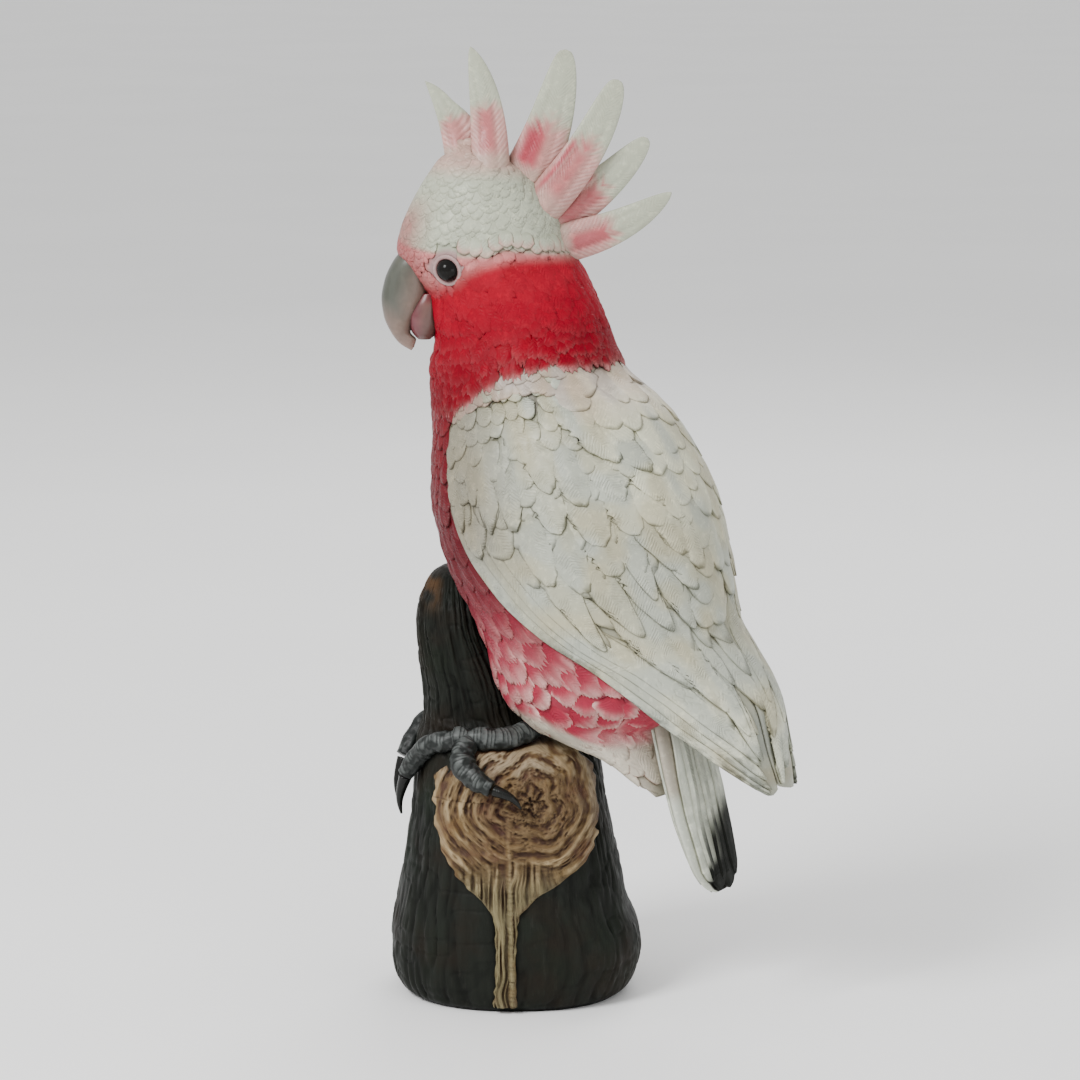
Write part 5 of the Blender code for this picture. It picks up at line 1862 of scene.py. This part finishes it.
def build_stage():
    """A wide pale floor, three soft lights, a camera and an even white sky."""
    stage = bpy.context.scene.statue_stage
    mesh = bpy.data.meshes.new("floor")
    corners = [(x * FLOOR_HALF, y * FLOOR_HALF, 0) for x, y in ((-1, -1), (1, -1), (1, 1), (-1, 1))]
    mesh.from_pydata(corners, [], [(0, 1, 2, 3)])
    material = new_material("floor_paint", 0.7)
    n = Nodes(material)
    tone = n.ramp(n.noise(3, 2), 0.3, 0.7)
    n.finish(n.blend(stage.floor, (0.92, 0.92, 0.915), tone))
    mesh.materials.append(material)
    floor = linked("floor", mesh)
    add_camera(stage)
    for light in LIGHTS:
        add_light(*light)
    world = bpy.data.worlds.new("studio")
    world.use_nodes = True
    sky = world.node_tree.nodes["Background"]
    sky.inputs["Color"].default_value = (1, 1, 1, 1)
    sky.inputs["Strength"].default_value = 1.0
    bpy.context.scene.world = world


def add_camera(stage):
    """A camera in front of the statue that looks down on it a little, with a lens that fits the picture's
    height."""
    data = bpy.data.cameras.new("camera")
    camera = linked("camera", data)
    back = Vector((0, -np.cos(stage.elevation), np.sin(stage.elevation)))
    camera.location = Vector(LOOKED_AT) + back * stage.distance
    camera.rotation_mode = "QUATERNION"
    camera.rotation_quaternion = (-back).to_track_quat("-Z", "Y")
    data.lens = data.sensor_width * stage.distance / stage.view_height
    bpy.context.scene.camera = camera


def add_light(name, place, size, power):
    """A square light that faces the statue."""
    data = bpy.data.lights.new(name, "AREA")
    data.size = size
    data.energy = power
    light = linked(name, data)
    light.location = place
    light.rotation_mode = "QUATERNION"
    light.rotation_quaternion = (Vector(place) - Vector(LIT)).to_track_quat("Z", "Y")


# ---- operators


class STATUE_OT_skin(bpy.types.Operator):
    """Make the one skin of head, neck and trunk"""

    bl_idname = "statue.skin"
    bl_label = "Skin"

    def execute(self, context):
        build_skin()
        return {"FINISHED"}


class STATUE_OT_body_feathers(bpy.types.Operator):
    """Carve the small feathers of head, neck, breast, belly and mantle"""

    bl_idname = "statue.body_feathers"
    bl_label = "Body feathers"

    def execute(self, context):
        build_head_feathers()
        build_neck_feathers()
        build_breast_feathers()
        build_mantle_feathers()
        return {"FINISHED"}


class STATUE_OT_wings(bpy.types.Operator):
    """Build both folded wings with their coverts and flight feathers"""

    bl_idname = "statue.wings"
    bl_label = "Wings"

    def execute(self, context):
        for side in (1, -1):
            build_wing(side)
        return {"FINISHED"}


class STATUE_OT_crest(bpy.types.Operator):
    """Carve the six crest blades"""

    bl_idname = "statue.crest"
    bl_label = "Crest"

    def execute(self, context):
        build_crest()
        return {"FINISHED"}


class STATUE_OT_face(bpy.types.Operator):
    """Make the bill, the eyes and their lids"""

    bl_idname = "statue.face"
    bl_label = "Bill and eyes"

    def execute(self, context):
        build_bill()
        build_eyes()
        return {"FINISHED"}


class STATUE_OT_tail(bpy.types.Operator):
    """Carve the tail"""

    bl_idname = "statue.tail"
    bl_label = "Tail"

    def execute(self, context):
        build_tail()
        return {"FINISHED"}


class STATUE_OT_feet(bpy.types.Operator):
    """Make the scaled feet and their claws"""

    bl_idname = "statue.feet"
    bl_label = "Feet"

    def execute(self, context):
        build_feet()
        return {"FINISHED"}


class STATUE_OT_stump(bpy.types.Operator):
    """Make the bark stump and its cut wood"""

    bl_idname = "statue.stump"
    bl_label = "Stump"

    def execute(self, context):
        build_stump()
        build_cut_wood()
        return {"FINISHED"}


class STATUE_OT_stage(bpy.types.Operator):
    """Set the floor, the lights and the camera"""

    bl_idname = "statue.stage"
    bl_label = "Stage"

    def execute(self, context):
        build_stage()
        return {"FINISHED"}


OPERATORS = (
    STATUE_OT_stage, STATUE_OT_skin, STATUE_OT_body_feathers, STATUE_OT_wings, STATUE_OT_crest,
    STATUE_OT_face, STATUE_OT_tail, STATUE_OT_feet, STATUE_OT_stump,
)


class STATUE_PT_panel(bpy.types.Panel):
    """Lists the statue's paints, sizes and steps"""

    bl_idname = "STATUE_PT_panel"
    bl_label = "Galah statue"
    bl_space_type = "VIEW_3D"
    bl_region_type = "UI"
    bl_category = "Statue"

    def draw(self, context):
        for group in (context.scene.statue_paint, context.scene.statue_relief, context.scene.statue_stage):
            for name in group.__annotations__:
                self.layout.prop(group, name)
        for operator in OPERATORS:
            self.layout.operator(operator.bl_idname)


GROUPS = (("statue_paint", StatuePaint), ("statue_relief", StatueRelief), ("statue_stage", StatueStage))


def register():
    """Makes the settings, the operators and the panel known to Blender."""
    for name, group in GROUPS:
        bpy.utils.register_class(group)
        setattr(bpy.types.Scene, name, bpy.props.PointerProperty(type=group))
    for kind in (*OPERATORS, STATUE_PT_panel):
        bpy.utils.register_class(kind)


def unregister():
    """Takes them out again."""
    for kind in (STATUE_PT_panel, *reversed(OPERATORS)):
        bpy.utils.unregister_class(kind)
    for name, group in reversed(GROUPS):
        delattr(bpy.types.Scene, name)
        bpy.utils.unregister_class(group)


def main():
    """Runs every step in order."""
    register()
    for operator in OPERATORS:
        group, name = operator.bl_idname.split(".")
        getattr(getattr(bpy.ops, group), name)()


if __name__ == "__main__":
    main()
